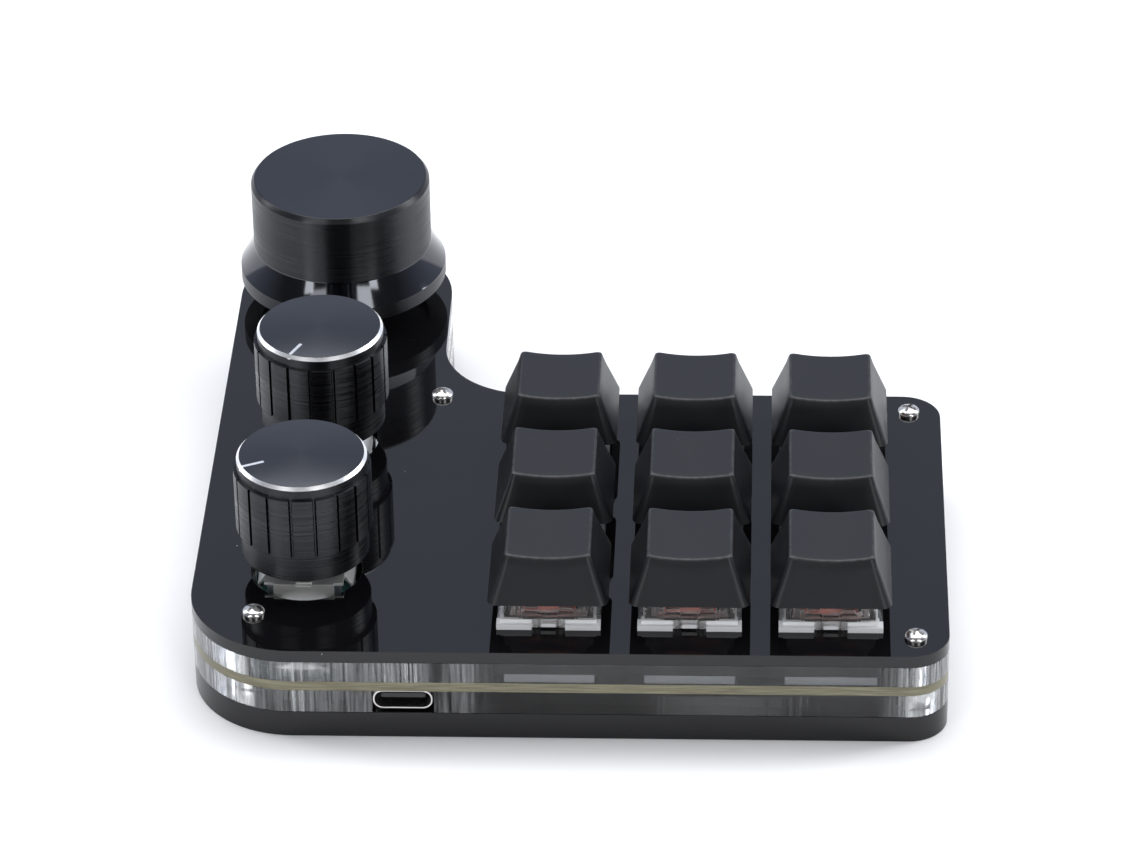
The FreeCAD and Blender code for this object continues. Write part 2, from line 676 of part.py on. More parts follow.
def encoder_shaft():
    """Shaft with a flat for the knob and a thinner flatted tail for the rotor."""
    top = COVER_H + SHAFT_ABOVE_COVER
    neck = ENCODER_FLOOR + LOOSE + ROTOR_T + PUSH_TRAVEL + REST_GAP
    bottom = ENCODER_FLOOR + PUSH_TRAVEL + REST_GAP
    upper = cylinder(0, 0, neck, top, SHAFT_R)
    upper = upper.cut(flat_cut(SHAFT_R, SHAFT_FLAT, top - SHAFT_FLAT_L, top))
    tail = cylinder(0, 0, bottom, neck, SHAFT_TAIL_R)
    tail = tail.cut(flat_cut(SHAFT_TAIL_R, tail_flat(), bottom, neck))
    return upper.fuse(tail)


# Knobs, drawn about their own axis with z = 0 at their lower edge; the pointer is towards -y

def bored(knob, gap):
    """Cut the nut recess, the flatted bore and the grub-screw hole into a turned knob."""
    recess = BUSHING_TOP - DECK - gap + NUT_RECESS_ABOVE_BOSS
    bore_top = SHAFT_TOP - DECK - gap + REST_GAP
    bore = cylinder(0, 0, 0, bore_top, SHAFT_R + FIT)
    flat_bottom = SHAFT_FLAT_BOTTOM - DECK - gap + REST_GAP
    bore = bore.cut(flat_cut(SHAFT_R + FIT, SHAFT_FLAT + FIT, flat_bottom, bore_top))
    nut = cylinder(0, 0, 0, recess, NUT_RECESS_R)
    grub_hole = lying_round(GRUB_R + FIT, 0, LARGE_RIM_R, grub_height(gap))
    return knob.cut([bore, nut, grub_hole])


def lying_round(r, start, length, z):
    """Many-sided bar that lies along y at height z."""
    upright = many_sided(0, 0, -start - length, -start, r)
    return upright.rotated(V(0, 0, 0), V(1, 0, 0), 90).translated(V(0, 0, z))


def grub_height(gap):
    """Height of the grub screw's axis above the knob's lower edge."""
    return SHAFT_FLAT_BOTTOM - DECK - gap + GRUB_R + LOOSE


def grub_screw(gap):
    return lying_round(GRUB_R, SHAFT_FLAT + FIT, GRUB_L, grub_height(gap))


def small_knob():
    """Turned knob with a ribbed grip, a plain band and a bevelled top edge."""
    knob = turned([
        (0, 0), (SMALL_SKIRT_R, 0), (SMALL_SKIRT_R, SMALL_SKIRT_H), (SMALL_RIB_R, SMALL_SKIRT_H),
        (SMALL_RIB_R, SMALL_RIB_TOP), (SMALL_BAND_R, SMALL_RIB_TOP),
        (SMALL_BAND_R, SMALL_BAND_TOP), (SMALL_FACE_R, SMALL_KNOB_H), (0, SMALL_KNOB_H),
    ])
    groove_depth = SMALL_RIB_R - SMALL_BAND_R
    groove = block(0, -SMALL_BAND_R - groove_depth, SMALL_SKIRT_H, SMALL_RIB_TOP,
                   SMALL_GROOVE_W, 2 * groove_depth)
    cuts = [spun(groove, 360 / SMALL_GROOVES * (i + 0.5)) for i in range(SMALL_GROOVES)]
    pointer_l = SMALL_BAND_R - POINTER_INNER_R
    cuts.append(block(0, -POINTER_INNER_R - pointer_l / 2, SMALL_KNOB_H - POINTER_DEPTH,
                      SMALL_KNOB_H, POINTER_W, pointer_l))
    return bored(knob.cut(cuts), SMALL_KNOB_GAP)


def large_knob():
    """Turned knob with a wide rim, a sloping shoulder and a tall plain body."""
    knob = turned([
        (0, LARGE_UNDERCUT), (LARGE_UNDERCUT_R, LARGE_UNDERCUT), (LARGE_UNDERCUT_R, 0),
        (LARGE_RIM_R, 0), (LARGE_RIM_R, LARGE_RIM_H), (LARGE_BODY_R, LARGE_CONE_TOP),
        (LARGE_BODY_R, LARGE_EDGE_Z), (LARGE_FACE_R, LARGE_KNOB_H), (0, LARGE_KNOB_H),
    ])
    return bored(knob, LARGE_KNOB_GAP)


# Build and save

os.makedirs("parts", exist_ok=True)

save("top_plate", top_plate())
save("upper_spacer", upper_spacer())
save("circuit_board", circuit_board())
save("lower_spacer", lower_spacer())
save("bottom_plate", bottom_plate())
save("top_screws", top_screws())
save("bottom_screws", bottom_screws())
save("brass_standoffs", standoffs())
save("usb_port_shell", port_shell())
save("usb_port_tongue", port_tongue())
save("controller_parts", controller_parts())

lower = lower_housing()
upper = upper_housing()
save("switch_lower_housings", [moved(lower, x, y, DECK) for name, x, y in KEYS])
save("switch_upper_housings", [moved(upper, x, y, DECK) for name, x, y in KEYS])
save("switch_contacts", [moved(pin, x, y, DECK) for name, x, y in KEYS for pin in switch_contacts()])
key_stem = stem()
key_spring = spring()
key_cap = keycap()
for name, x, y in KEYS:
    save("stem_" + name, moved(key_stem, x, y, DECK))
    save("spring_" + name, moved(key_spring, x, y, DECK))
    save("keycap_" + name, moved(key_cap, x, y, DECK + CAP_SKIRT_GAP))

axes = [(DIAL_AXIS_X, y) for name, y in DIALS]
save("encoder_bases", [moved(encoder_base(), x, y, BOARD_TOP) for x, y in axes])
save("encoder_covers", [moved(encoder_cover(), x, y, BOARD_TOP) for x, y in axes])
save("encoder_bushings", [moved(encoder_bushing(), x, y, BOARD_TOP) for x, y in axes])
save("encoder_pins", [moved(pin, x, y, BOARD_TOP) for x, y in axes for pin in encoder_pins()])

KNOBS = {
    "front": (small_knob(), SMALL_KNOB_GAP, FRONT_POINTER_ANGLE + 90),
    "middle": (small_knob(), SMALL_KNOB_GAP, MIDDLE_POINTER_ANGLE + 90),
    "large": (large_knob(), LARGE_KNOB_GAP, 0),
}
for name, y in DIALS:
    knob, gap, angle = KNOBS[name]
    save("encoder_rotor_" + name, moved(spun(encoder_rotor(), angle), DIAL_AXIS_X, y, BOARD_TOP))
    save("encoder_shaft_" + name, moved(spun(encoder_shaft(), angle), DIAL_AXIS_X, y, BOARD_TOP))
    save("knob_" + name, moved(spun(knob, angle), DIAL_AXIS_X, y, DECK + gap))
    save("grub_screw_" + name, moved(spun(grub_screw(gap), angle), DIAL_AXIS_X, y, DECK + gap))
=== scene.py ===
# %% [markdown]
# A macro keypad is a stack of laser-cut sheets. Under the glossy top plate lie a clear sheet, the
# circuit board, another clear sheet and a thick bottom plate. Nine mechanical key switches clip
# into the top plate, and three rotary encoders stand beside them, each with a turned knob.
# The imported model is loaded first, because every piece made here sits where the model says.

import json
import math
from functools import partial

import bmesh
import bpy
from mathutils import Matrix, Vector


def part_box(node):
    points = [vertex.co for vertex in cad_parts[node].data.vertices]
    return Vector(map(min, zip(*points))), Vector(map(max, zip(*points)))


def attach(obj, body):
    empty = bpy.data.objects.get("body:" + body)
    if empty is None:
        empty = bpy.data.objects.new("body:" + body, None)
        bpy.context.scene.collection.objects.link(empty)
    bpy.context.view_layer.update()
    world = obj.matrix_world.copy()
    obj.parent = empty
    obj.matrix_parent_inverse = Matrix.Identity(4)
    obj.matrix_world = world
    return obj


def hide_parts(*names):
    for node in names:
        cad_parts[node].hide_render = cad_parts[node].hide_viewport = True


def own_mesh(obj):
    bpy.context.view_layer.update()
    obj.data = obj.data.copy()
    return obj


MM = 0.001
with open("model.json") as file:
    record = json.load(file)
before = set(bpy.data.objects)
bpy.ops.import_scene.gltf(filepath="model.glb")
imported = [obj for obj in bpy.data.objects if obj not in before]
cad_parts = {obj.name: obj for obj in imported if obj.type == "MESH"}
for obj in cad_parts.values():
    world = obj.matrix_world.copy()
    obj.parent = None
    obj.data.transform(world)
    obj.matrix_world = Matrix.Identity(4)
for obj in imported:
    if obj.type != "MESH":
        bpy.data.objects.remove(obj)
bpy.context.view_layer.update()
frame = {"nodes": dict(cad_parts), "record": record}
record = frame["record"]
bodies = record["behaviour"]["bodies"]
body_of_node = {node: body for body, nodes in bodies.items() for node in nodes}


def nodes_named(start):
    """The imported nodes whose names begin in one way."""
    return [node for node in frame["nodes"] if node.startswith(start)]


def foot(node):
    """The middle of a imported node's lower side."""
    low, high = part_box(node)
    return Vector(((low[0] + high[0]) / 2, (low[1] + high[1]) / 2, low[2]))


def new_object(name, data):
    """An object in the scene for a mesh, a light or a camera."""
    made = bpy.data.objects.new(name, data)
    bpy.context.scene.collection.objects.link(made)
    return made


# %% [markdown]
# The photograph was taken with a long lens from a little over half a metre, so the keypad's edges
# hardly converge. The camera's place was worked out from the corners of the plate, the screws and
# the keys, and it is written here as the angles that a photographer would use. The picture keeps
# plain display colours, so that a white card turns out white while black plastic stays black.

# %% Place the camera
AZIMUTH = 2.536
ELEVATION = 32.517
ROLL = math.radians(-0.912)
DISTANCE = 834.54 * MM
AIM = Vector((-1.47, 2.39, 15.5)) * MM
FOCAL_LENGTH_PX = 5264.7
PHOTO_WIDTH_PX = 1140
SENSOR_MM = 36.0


def direction(azimuth, elevation):
    """A unit vector from angles in degrees; azimuth 0 is in front and 90 to the right."""
    turn = math.radians(azimuth)
    rise = math.radians(elevation)
    return Vector((
        math.sin(turn) * math.cos(rise), -math.cos(turn) * math.cos(rise), math.sin(rise)))


back = direction(AZIMUTH, ELEVATION)
level = direction(AZIMUTH + 90, 0)
above = back.cross(level)
right = math.cos(ROLL) * level + math.sin(ROLL) * above
up = math.cos(ROLL) * above - math.sin(ROLL) * level
camera_data = bpy.data.cameras.new("camera")
camera_data.sensor_width = SENSOR_MM
camera_data.lens = SENSOR_MM * FOCAL_LENGTH_PX / PHOTO_WIDTH_PX
camera_data.clip_start = 10 * MM
camera = new_object("camera", camera_data)
turned = Matrix((right, up, back)).transposed().to_4x4()
camera.matrix_world = Matrix.Translation(AIM + back * DISTANCE) @ turned
bpy.context.scene.camera = camera
bpy.context.scene.view_settings.view_transform = "Standard"
print("lens", round(camera_data.lens, 1), "mm")

# %% [markdown]
# The world, every finish and every Geometry Nodes shape are trees of nodes. One helper adds a node
# and feeds it, either with plain values or with the outputs of other nodes. The small ones built
# on it pick a coordinate, do a sum, stretch a value and mix two colours, so that a tree can be
# written down much like a formula.

# %% Helpers for node trees
def feed(tree, node, inputs):
    """Give a node's inputs, by name or number, a plain value or another node's output."""
    for key, value in inputs.items():
        if isinstance(value, bpy.types.NodeSocket):
            tree.links.new(value, node.inputs[key])
        else:
            node.inputs[key].default_value = value


def add_node(tree, kind, inputs=None, **settings):
    """A new node with its settings and its inputs."""
    node = tree.nodes.new(kind)
    for name, value in settings.items():
        setattr(node, name, value)
    feed(tree, node, inputs or {})
    return node


def coordinate(tree, vector, axis):
    """One coordinate of a vector."""
    return add_node(tree, "ShaderNodeSeparateXYZ", {0: vector}).outputs[axis]


def calculate(tree, operation, first, second=0.0, clamp=False):
    """A sum, product or comparison of sockets and numbers, held between 0 and 1 if asked."""
    return add_node(
        tree, "ShaderNodeMath", {0: first, 1: second}, operation=operation, use_clamp=clamp
    ).outputs[0]


def spread(tree, value, low, high, start=0.0, end=1.0):
    """A value that runs from start to end, stretched to run from low to high."""
    return add_node(tree, "ShaderNodeMapRange", {
        "Value": value, "From Min": start, "From Max": end, "To Min": low, "To Max": high,
    }).outputs["Result"]


def mixed(tree, factor, *colours):
    """A colour between two, by a factor of 0 to 1."""
    inputs = {"Factor": factor}
    for key, colour in zip("AB", colours):
        inputs[key] = (*colour, 1) if isinstance(colour, tuple) else colour
    return add_node(tree, "ShaderNodeMix", inputs, data_type="RGBA").outputs["Result"]


print("node helpers ready")

# %% [markdown]
# The reflections tell where the lights stood. The sloping shoulder of the large knob mirrors two
# bright boxes in front, one on each side of the camera, and the turned sides of all knobs show more
# bright bands further round. The polished plate mirrors a bluish room behind the keypad, and the
# knobs show that the room is darker in front. So there are two soft boxes in front, two lower ones
# further out, two at the sides, a broad one overhead for the white card, and surroundings that
# change from back to front.

# %% Floor, world and lights
FLOOR_SIZE = 6.0
ROOM_BEHIND = (0.50, 0.55, 0.68)
ROOM_IN_FRONT = (0.10, 0.105, 0.12)
ROOM_CHANGE = (-0.35, 0.45)
# Azimuth and elevation in degrees, distance, width and height in metres, and brightness
SOFT_BOXES = {
    "front left box": (-28, 31, 1.1, 0.34, 0.42, 2.8),
    "front right box": (27, 31, 1.1, 0.30, 0.42, 4.6),
    "low left box": (-40, 12, 1.2, 0.2, 0.4, 5.4),
    "low right box": (40, 12, 1.2, 0.2, 0.4, 5.4),
    "left box": (-108, 32, 1.1, 0.3, 0.6, 5.5),
    "right box": (108, 32, 1.1, 0.3, 0.6, 8.5),
    "overhead box": (180, 78, 1.3, 1.6, 1.1, 2.9),
}


def add_floor():
    """A flat pale floor just under the keypad."""
    mesh = bpy.data.meshes.new("floor")
    half = FLOOR_SIZE / 2
    corners = [(-half, -half, 0), (half, -half, 0), (half, half, 0), (-half, half, 0)]
    mesh.from_pydata(corners, [], [(0, 1, 2, 3)])
    floor = new_object("floor", mesh)
    return floor


def add_soft_box(name, azimuth, elevation, distance, width, height, brightness):
    """A rectangular light that faces the keypad."""
    data = bpy.data.lights.new(name, "AREA")
    data.shape = "RECTANGLE"
    data.size = width
    data.size_y = height
    data.energy = brightness * width * height * math.pi
    light = new_object(name, data)
    outwards = direction(azimuth, elevation)
    light.location = outwards * distance
    light.rotation_euler = outwards.to_track_quat("Z", "Y").to_euler()
    return light


def add_room():
    """Dim surroundings that are brighter behind the keypad than in front of it."""
    world = bpy.data.worlds.new("studio")
    world.use_nodes = True
    tree = world.node_tree
    seen = add_node(tree, "ShaderNodeTexCoord").outputs["Generated"]
    behind = spread(tree, coordinate(tree, seen, "Y"), 0.0, 1.0, *ROOM_CHANGE)
    colour = mixed(tree, behind, ROOM_IN_FRONT, ROOM_BEHIND)
    feed(tree, tree.nodes["Background"], {"Color": colour})
    return world


floor = add_floor()
bpy.context.scene.world = add_room()
lights = [add_soft_box(name, *numbers) for name, numbers in SOFT_BOXES.items()]
print("lights", [light.name for light in lights])

# %% [markdown]
# Every finish starts from the same few steps. The helpers below make a material with its shader at
# hand, read Object coordinates, so that a pattern stays fixed to the piece and has its real size in
# millimetres, and turn a height into a fine relief through a bump node.

# %% Helpers for materials
def new_material(name, colour, roughness, metallic=0.0):
    """A material, its tree and its shader, with the values that are the same all over."""
    material = bpy.data.materials.new(name)
    material.use_nodes = True
    tree = material.node_tree
    shader = tree.nodes["Principled BSDF"]
    feed(tree, shader, {
        "Base Color": (*colour, 1), "Roughness": roughness, "Metallic": metallic})
    return material, tree, shader


def millimetres(tree, scale=(1, 1, 1), centre=(0, 0, 0)):
    """Object coordinates in millimetres from a centre, then scaled along each axis."""
    factors = [s / MM for s in scale]
    return add_node(tree, "ShaderNodeMapping", {
        "Vector": add_node(tree, "ShaderNodeTexCoord").outputs["Object"],
        "Scale": factors,
        "Location": [-c * f for c, f in zip(centre, factors)],
    }).outputs["Vector"]


def noise(tree, vector, size, detail=2.0):
    """Noise whose blotches are about so many millimetres across."""
    return add_node(tree, "ShaderNodeTexNoise", {
        "Vector": vector, "Scale": 1 / size, "Detail": detail}).outputs["Fac"]


def product(tree, first, second):
    """Two values multiplied and held between 0 and 1."""
    return calculate(tree, "MULTIPLY", first, second, clamp=True)


def true_normal(tree):
    """The direction that the surface faces, without its bump."""
    return add_node(tree, "ShaderNodeNewGeometry").outputs["True Normal"]


def on_face(tree):
    """1 on a sheet's level faces and 0 on its upright edge."""
    return calculate(tree, "ABSOLUTE", coordinate(tree, true_normal(tree), "Z"))


def add_bump(tree, shader, height, depth_mm):
    """Raise the surface by a height of 0 to 1 times a depth in millimetres."""
    bump = add_node(tree, "ShaderNodeBump", {"Height": height, "Distance": depth_mm * MM})
    feed(tree, shader, {"Normal": bump.outputs["Normal"]})


print("material helpers ready")

# %% [markdown]
# The plates are cast black acrylic. Their faces are polished like a mirror, with a few fine dust
# marks, so the roughness only wanders a little. The sheet's edge is cut by a laser, which leaves
# very fine upright lines: noise that is drawn out along the height, and masked off the faces. On
# the clear sheets these lines are frosty towards the dials and at the right-hand corners, and the
# long stretch before the keys is clear enough to see the switches. Along that stretch the edge's
# colour carries painted shade, slight on the upper sheet and strong on the lower one.

# %% Black acrylic and clear acrylic
ACRYLIC_IOR = 1.49
ACRYLIC_BLACK = (0.0035, 0.0035, 0.0042)
ACRYLIC_TINT = (0.95, 0.965, 0.98)
ROUGH_ZONES = ((-10.0, -17.0), (46.0, 51.0))


def cut_lines(tree, shader, depth_mm, pitch_mm):
    """Fine upright lines on the cut edge of a sheet; gives 1 on that edge and 0 on the faces."""
    lines = noise(tree, millimetres(tree, (1, 1, 0.04)), pitch_mm)
    side = calculate(tree, "LESS_THAN", on_face(tree), 0.5)
    add_bump(tree, shader, calculate(tree, "MULTIPLY", lines, side), depth_mm)
    return side


def dust(tree, vector, cell_mm, speck):
    """1 on a few tiny specks, 0 elsewhere."""
    cells = add_node(tree, "ShaderNodeTexVoronoi", {"Vector": vector, "Scale": 1 / cell_mm})
    return calculate(tree, "LESS_THAN", cells.outputs["Distance"], speck)


def black_acrylic():
    """Polished black sheet with a cut edge and a few specks of dust."""
    material, tree, shader = new_material("black acrylic", ACRYLIC_BLACK, 0.04)
    side = cut_lines(tree, shader, depth_mm=0.004, pitch_mm=0.35)
    vector = millimetres(tree)
    haze = spread(tree, noise(tree, vector, 9.0, 4.0), 0.01, 0.05)
    specks = dust(tree, vector, cell_mm=7.0, speck=0.017)
    feed(tree, shader, {
        "IOR": ACRYLIC_IOR,
        "Roughness": calculate(tree, "ADD", haze, spread(tree, side, 0.0, 0.2), clamp=True),
        "Base Color": mixed(tree, specks, ACRYLIC_BLACK, (0.25, 0.25, 0.25)),
    })
    return material


def clear_acrylic(name, shade):
    """Clear sheet whose cut edge carries upright lines, some clear and some frosted.

    shade is a painted shade on the edge's colour along the stretch before the keys: 1 leaves it
    clear, lower values darken it."""
    material, tree, shader = new_material(name, ACRYLIC_TINT, 0.0)
    side = cut_lines(tree, shader, depth_mm=0.03, pitch_mm=0.6)
    fine = noise(tree, millimetres(tree, (1, 1, 0.03)), 0.4, 3.0)
    broad = noise(tree, millimetres(tree, (1, 1, 0.12)), 6.0)
    streaks = product(tree, spread(tree, fine, -1.2, 2.4), spread(tree, broad, -0.9, 2.2))
    across = coordinate(tree, millimetres(tree), "X")
    zones = [spread(tree, across, 0.0, 1.0, *zone) for zone in ROUGH_ZONES]
    zone = spread(tree, calculate(tree, "ADD", *zones, clamp=True), 0.06, 1.0)
    frost = product(tree, product(tree, streaks, zone), side)
    # Painted shade: the edge's colour is darkened by shade along the stretch before the keys.
    painted_shade_zone = product(tree, spread(tree, zone, 1.0, 0.0), side)
    painted_shade_tint = tuple(value * shade for value in ACRYLIC_TINT)
    feed(tree, shader, {
        "IOR": ACRYLIC_IOR,
        "Roughness": spread(tree, frost, 0.01, 0.35),
        "Transmission Weight": spread(tree, frost, 1.0, 0.6),
        "Base Color": mixed(tree, painted_shade_zone, ACRYLIC_TINT, painted_shade_tint),
    })
    return material


BLACK_ACRYLIC = black_acrylic()
# Painted shade on the clear edges: slight on the upper sheet, strong on the lower one.
UPPER_ACRYLIC = clear_acrylic("upper clear acrylic", shade=0.9)
LOWER_ACRYLIC = clear_acrylic("lower clear acrylic", shade=0.2)
print(BLACK_ACRYLIC.name, UPPER_ACRYLIC.name, LOWER_ACRYLIC.name)

# %% [markdown]
# Moulded plastics are rarely one flat value. A fine grain from the mould breaks up the shine, and
# the shine itself varies a little over the surface. The keycaps have the strongest grain, and the
# rings along their top edge carry an attribute that makes them a little lighter, in patches.

# %% Moulded plastics
MOULD_GRAIN = 0.12
MOULD_DEPTH = 0.004
PLASTIC_IOR = 1.46
KEYCAP_BLACK = (0.003, 0.0036, 0.005)
KEYCAP_EDGE_LIGHTER = (0.03, 0.03, 0.032)


def moulded_plastic(name, colour, roughness):
    """Plastic with the fine grain of its mould."""
    material, tree, shader = new_material(name, colour, roughness)
    vector = millimetres(tree)
    patches = noise(tree, vector, 6.0, 3.0)
    feed(tree, shader, {
        "Roughness": spread(tree, patches, roughness - 0.05, roughness + 0.05)})
    add_bump(tree, shader, noise(tree, vector, MOULD_GRAIN), MOULD_DEPTH)
    return material


def keycap_plastic():
    """Grained black plastic whose top edge rings are a little lighter, in patches."""
    material, tree, shader = new_material("keycap plastic", KEYCAP_BLACK, 0.4)
    vector = millimetres(tree)
    edge = add_node(tree, "ShaderNodeAttribute", attribute_name="edge").outputs["Fac"]
    # The rings of the top edge are made a little lighter, in patches.
    lighter_patches = product(tree, spread(tree, noise(tree, vector, 0.9, 4.0), -0.9, 1.9), edge)
    edge_lightened = mixed(tree, lighter_patches, KEYCAP_BLACK, KEYCAP_EDGE_LIGHTER)
    specks = dust(tree, vector, cell_mm=6.0, speck=0.016)
    feed(tree, shader, {
        "IOR": PLASTIC_IOR,
        "Roughness": spread(tree, noise(tree, vector, 6.0, 3.0), 0.37, 0.44),
        "Base Color": mixed(tree, specks, edge_lightened, (0.3, 0.3, 0.3)),
    })
    add_bump(tree, shader, noise(tree, vector, 0.16), 0.006)
    return material


def clear_moulding():
    """Clear plastic of the upper switch housing, very slightly smoky."""
    material, tree, shader = new_material("clear moulding", (0.98, 0.965, 0.96), 0.04)
    feed(tree, shader, {"IOR": PLASTIC_IOR, "Transmission Weight": 0.96})
    add_bump(tree, shader, noise(tree, millimetres(tree), 1.5), 0.01)
    return material


KEYCAP_PLASTIC = keycap_plastic()
SWITCH_WHITE = moulded_plastic("switch white", (0.90, 0.91, 0.92), 0.34)
SWITCH_RED = moulded_plastic("switch red", (0.90, 0.14, 0.045), 0.35)
SWITCH_CLEAR = clear_moulding()
ENCODER_TEAL = moulded_plastic("encoder teal", (0.10, 0.24, 0.22), 0.45)
ROTOR_IVORY = moulded_plastic("rotor ivory", (0.70, 0.67, 0.60), 0.45)
CHIP_BLACK = moulded_plastic("chip black", (0.02, 0.02, 0.02), 0.5)
TONGUE_BLACK = moulded_plastic("tongue black", (0.03, 0.03, 0.03), 0.45)
print("plastics ready")

# %% [markdown]
# Turned metal shows its tool marks: rings on a face and level lines on a side. A wave texture
# draws the rings and drawn-out noise draws the lines. The shader's anisotropy stretches each
# reflection across the marks, and a tangent that follows them round the axis tells it which way.
# That gives a turned knob its bright fan on top and its bright upright bands on the side.

# %% Metals
RING_PITCH = 0.22
TOP_FACES_UP = 0.8
STEEPEST_RELIEF = 1.5
SHINE_CHANGE = 0.6


def plated_metal(name, colour, roughness, grain_mm=0.4, metallic=1.0):
    """Plated or cast metal with a slightly uneven shine."""
    material, tree, shader = new_material(name, colour, roughness, metallic)
    patches = noise(tree, millimetres(tree), grain_mm, 3.0)
    feed(tree, shader, {
        "Roughness": spread(tree, patches, roughness - 0.06, roughness + 0.08)})
    add_bump(tree, shader, patches, 0.003)
    return material


def turned_metal(name, colour, roughness, centre, face_depth, side_depth, drawn_out):
    """Metal turned about an upright axis through centre.

    drawn_out is how far the tool marks stretch the shine: 0 when polished, near 1 when brushed."""
    material, tree, shader = new_material(name, colour, roughness, 1.0)
    vector = millimetres(tree, centre=centre)
    normal = true_normal(tree)
    cross = partial(add_node, tree, "ShaderNodeVectorMath", operation="CROSS_PRODUCT")
    around = cross({0: vector, 1: (0, 0, 1)}).outputs[0]
    rings = add_node(
        tree, "ShaderNodeTexWave", {"Vector": vector, "Scale": math.pi / 10 / RING_PITCH},
        wave_type="RINGS", rings_direction="Z")
    lines = noise(tree, millimetres(tree, (0.02, 0.02, 1), centre), 0.3, 4.0)
    relief = side_depth / face_depth
    height = add_node(tree, "ShaderNodeMix", {
        "Factor": calculate(tree, "GREATER_THAN", coordinate(tree, normal, "Z"), TOP_FACES_UP),
        "A": spread(tree, lines, 0.0, relief),
        "B": rings.outputs["Fac"],
    })
    add_bump(tree, shader, height.outputs["Result"], face_depth)
    change = SHINE_CHANGE * min(relief, STEEPEST_RELIEF) * drawn_out * roughness
    feed(tree, shader, {
        "Anisotropic": drawn_out,
        "Tangent": cross({0: around, 1: normal}).outputs[0],
        "Roughness": spread(tree, lines, roughness - change, roughness + change),
    })
    return material


NICKEL = plated_metal("nickel plate", (0.70, 0.69, 0.67), 0.22)
PIN_PLATE = plated_metal("pin plate", (0.75, 0.60, 0.34), 0.3)
COVER_STEEL = plated_metal("cover steel", (0.92, 0.92, 0.90), 0.36, metallic=0.8)
CAST_ZINC = plated_metal("cast zinc", (0.36, 0.40, 0.44), 0.42, grain_mm=0.8)
SPRING_STEEL = plated_metal("spring steel", (0.66, 0.60, 0.48), 0.25)
BLACKENED_STEEL = plated_metal("blackened steel", (0.05, 0.05, 0.05), 0.35)
BARE_METAL = plated_metal("bare metal", (0.93, 0.93, 0.94), 0.34)
print("metals ready")

# %% [markdown]
# The circuit board is glass-fibre with a dark lacquer on both faces. Its sawn edge shows the bare
# yellowish fibre, which is the thin line between the two clear sheets in the photograph.

# %% Circuit board
BOARD_LACQUER = (0.02, 0.022, 0.024)
FIBRE_SHADES = ((0.3, (0.11, 0.098, 0.058, 1)), (0.75, (0.25, 0.235, 0.15, 1)))


def board_material():
    """Dark lacquer on the faces and bare glass-fibre on the edge."""
    material, tree, shader = new_material("board", BOARD_LACQUER, 0.3)
    fibres = noise(tree, millimetres(tree, (0.25, 0.25, 6)), 1.2, 5.0)
    ramp = add_node(tree, "ShaderNodeValToRGB", {"Fac": fibres})
    for element, (position, shade) in zip(ramp.color_ramp.elements, FIBRE_SHADES):
        element.position = position
        element.color = shade
    feed(tree, shader, {
        "Base Color": mixed(tree, on_face(tree), ramp.outputs["Color"], BOARD_LACQUER)})
    add_bump(tree, shader, fibres, 0.01)
    return material


BOARD = board_material()
print(BOARD.name)

# %% [markdown]
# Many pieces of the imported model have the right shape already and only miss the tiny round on
# their edges, which catches the light on every real product. For those, a copy of the model's mesh
# is joined up, its flat faces are made whole, and a narrow bevel is cut along the sharp edges.

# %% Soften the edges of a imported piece
SHARP_DEGREES = 28
FLAT_DEGREES = 0.6
WELD = 0.002 * MM


def smooth(mesh, sharp_degrees):
    """Shade a mesh smoothly between its sharp edges."""
    mesh.polygons.foreach_set("use_smooth", [True] * len(mesh.polygons))
    mesh.set_sharp_from_angle(angle=math.radians(sharp_degrees))


def place_piece(name, mesh, node, material=None, stands_for_node=True):
    """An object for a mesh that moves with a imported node's body and may stand for the node."""
    piece = new_object(name, mesh)
    if material is not None:
        mesh.materials.clear()
        mesh.materials.append(material)
    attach(piece, body_of_node[node])
    if stands_for_node:
        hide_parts(node)
    return piece


def joined_mesh(node):
    """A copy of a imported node's mesh with its triangles joined and flat faces made whole."""
    mesh = frame["nodes"][node].data.copy()
    shape = bmesh.new()
    shape.from_mesh(mesh)
    bmesh.ops.remove_doubles(shape, verts=shape.verts, dist=WELD)
    bmesh.ops.dissolve_limit(
        shape, angle_limit=math.radians(FLAT_DEGREES), verts=shape.verts, edges=shape.edges)
    shape.to_mesh(mesh)
    shape.free()
    smooth(mesh, SHARP_DEGREES)
    return mesh


def bevelled(piece, width_mm, even_shade=False):
    """Soft edges on a piece."""
    bevel = piece.modifiers.new("soft edges", "BEVEL")
    bevel.width = width_mm * MM
    bevel.segments = 2
    bevel.limit_method = "ANGLE"
    bevel.angle_limit = math.radians(SHARP_DEGREES)
    bevel.harden_normals = even_shade


def soften(node, material, bevel_mm):
    """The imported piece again, with softened edges and a real finish."""
    piece = place_piece(node + "_dressed", joined_mesh(node), node, material)
    if bevel_mm > 0:
        bevelled(piece, bevel_mm, even_shade=True)
    return piece


sheets = [
    soften("top_plate", BLACK_ACRYLIC, 0.12),
    soften("bottom_plate", BLACK_ACRYLIC, 0.15),
    soften("circuit_board", BOARD, 0),
]
print([sheet.name for sheet in sheets])

# %% [markdown]
# A clear sheet that touches the next sheet over its whole face would look dark, because light
# would pass straight into its neighbour. Real sheets touch only here and there, and the thin film
# of air between them mirrors the light. Each clear sheet is made a hair thinner to keep that film.

# %% Clear sheets with their film of air
AIR_FILM = 0.02 * MM


def clear_sheet(node, material):
    """A clear sheet that stops a hair short of its neighbours."""
    low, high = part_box(node)
    middle = (low[2] + high[2]) / 2
    mesh = joined_mesh(node)
    for vertex in mesh.vertices:
        vertex.co.z += -AIR_FILM if vertex.co.z > middle else AIR_FILM
    return place_piece(node + "_dressed", mesh, node, material)


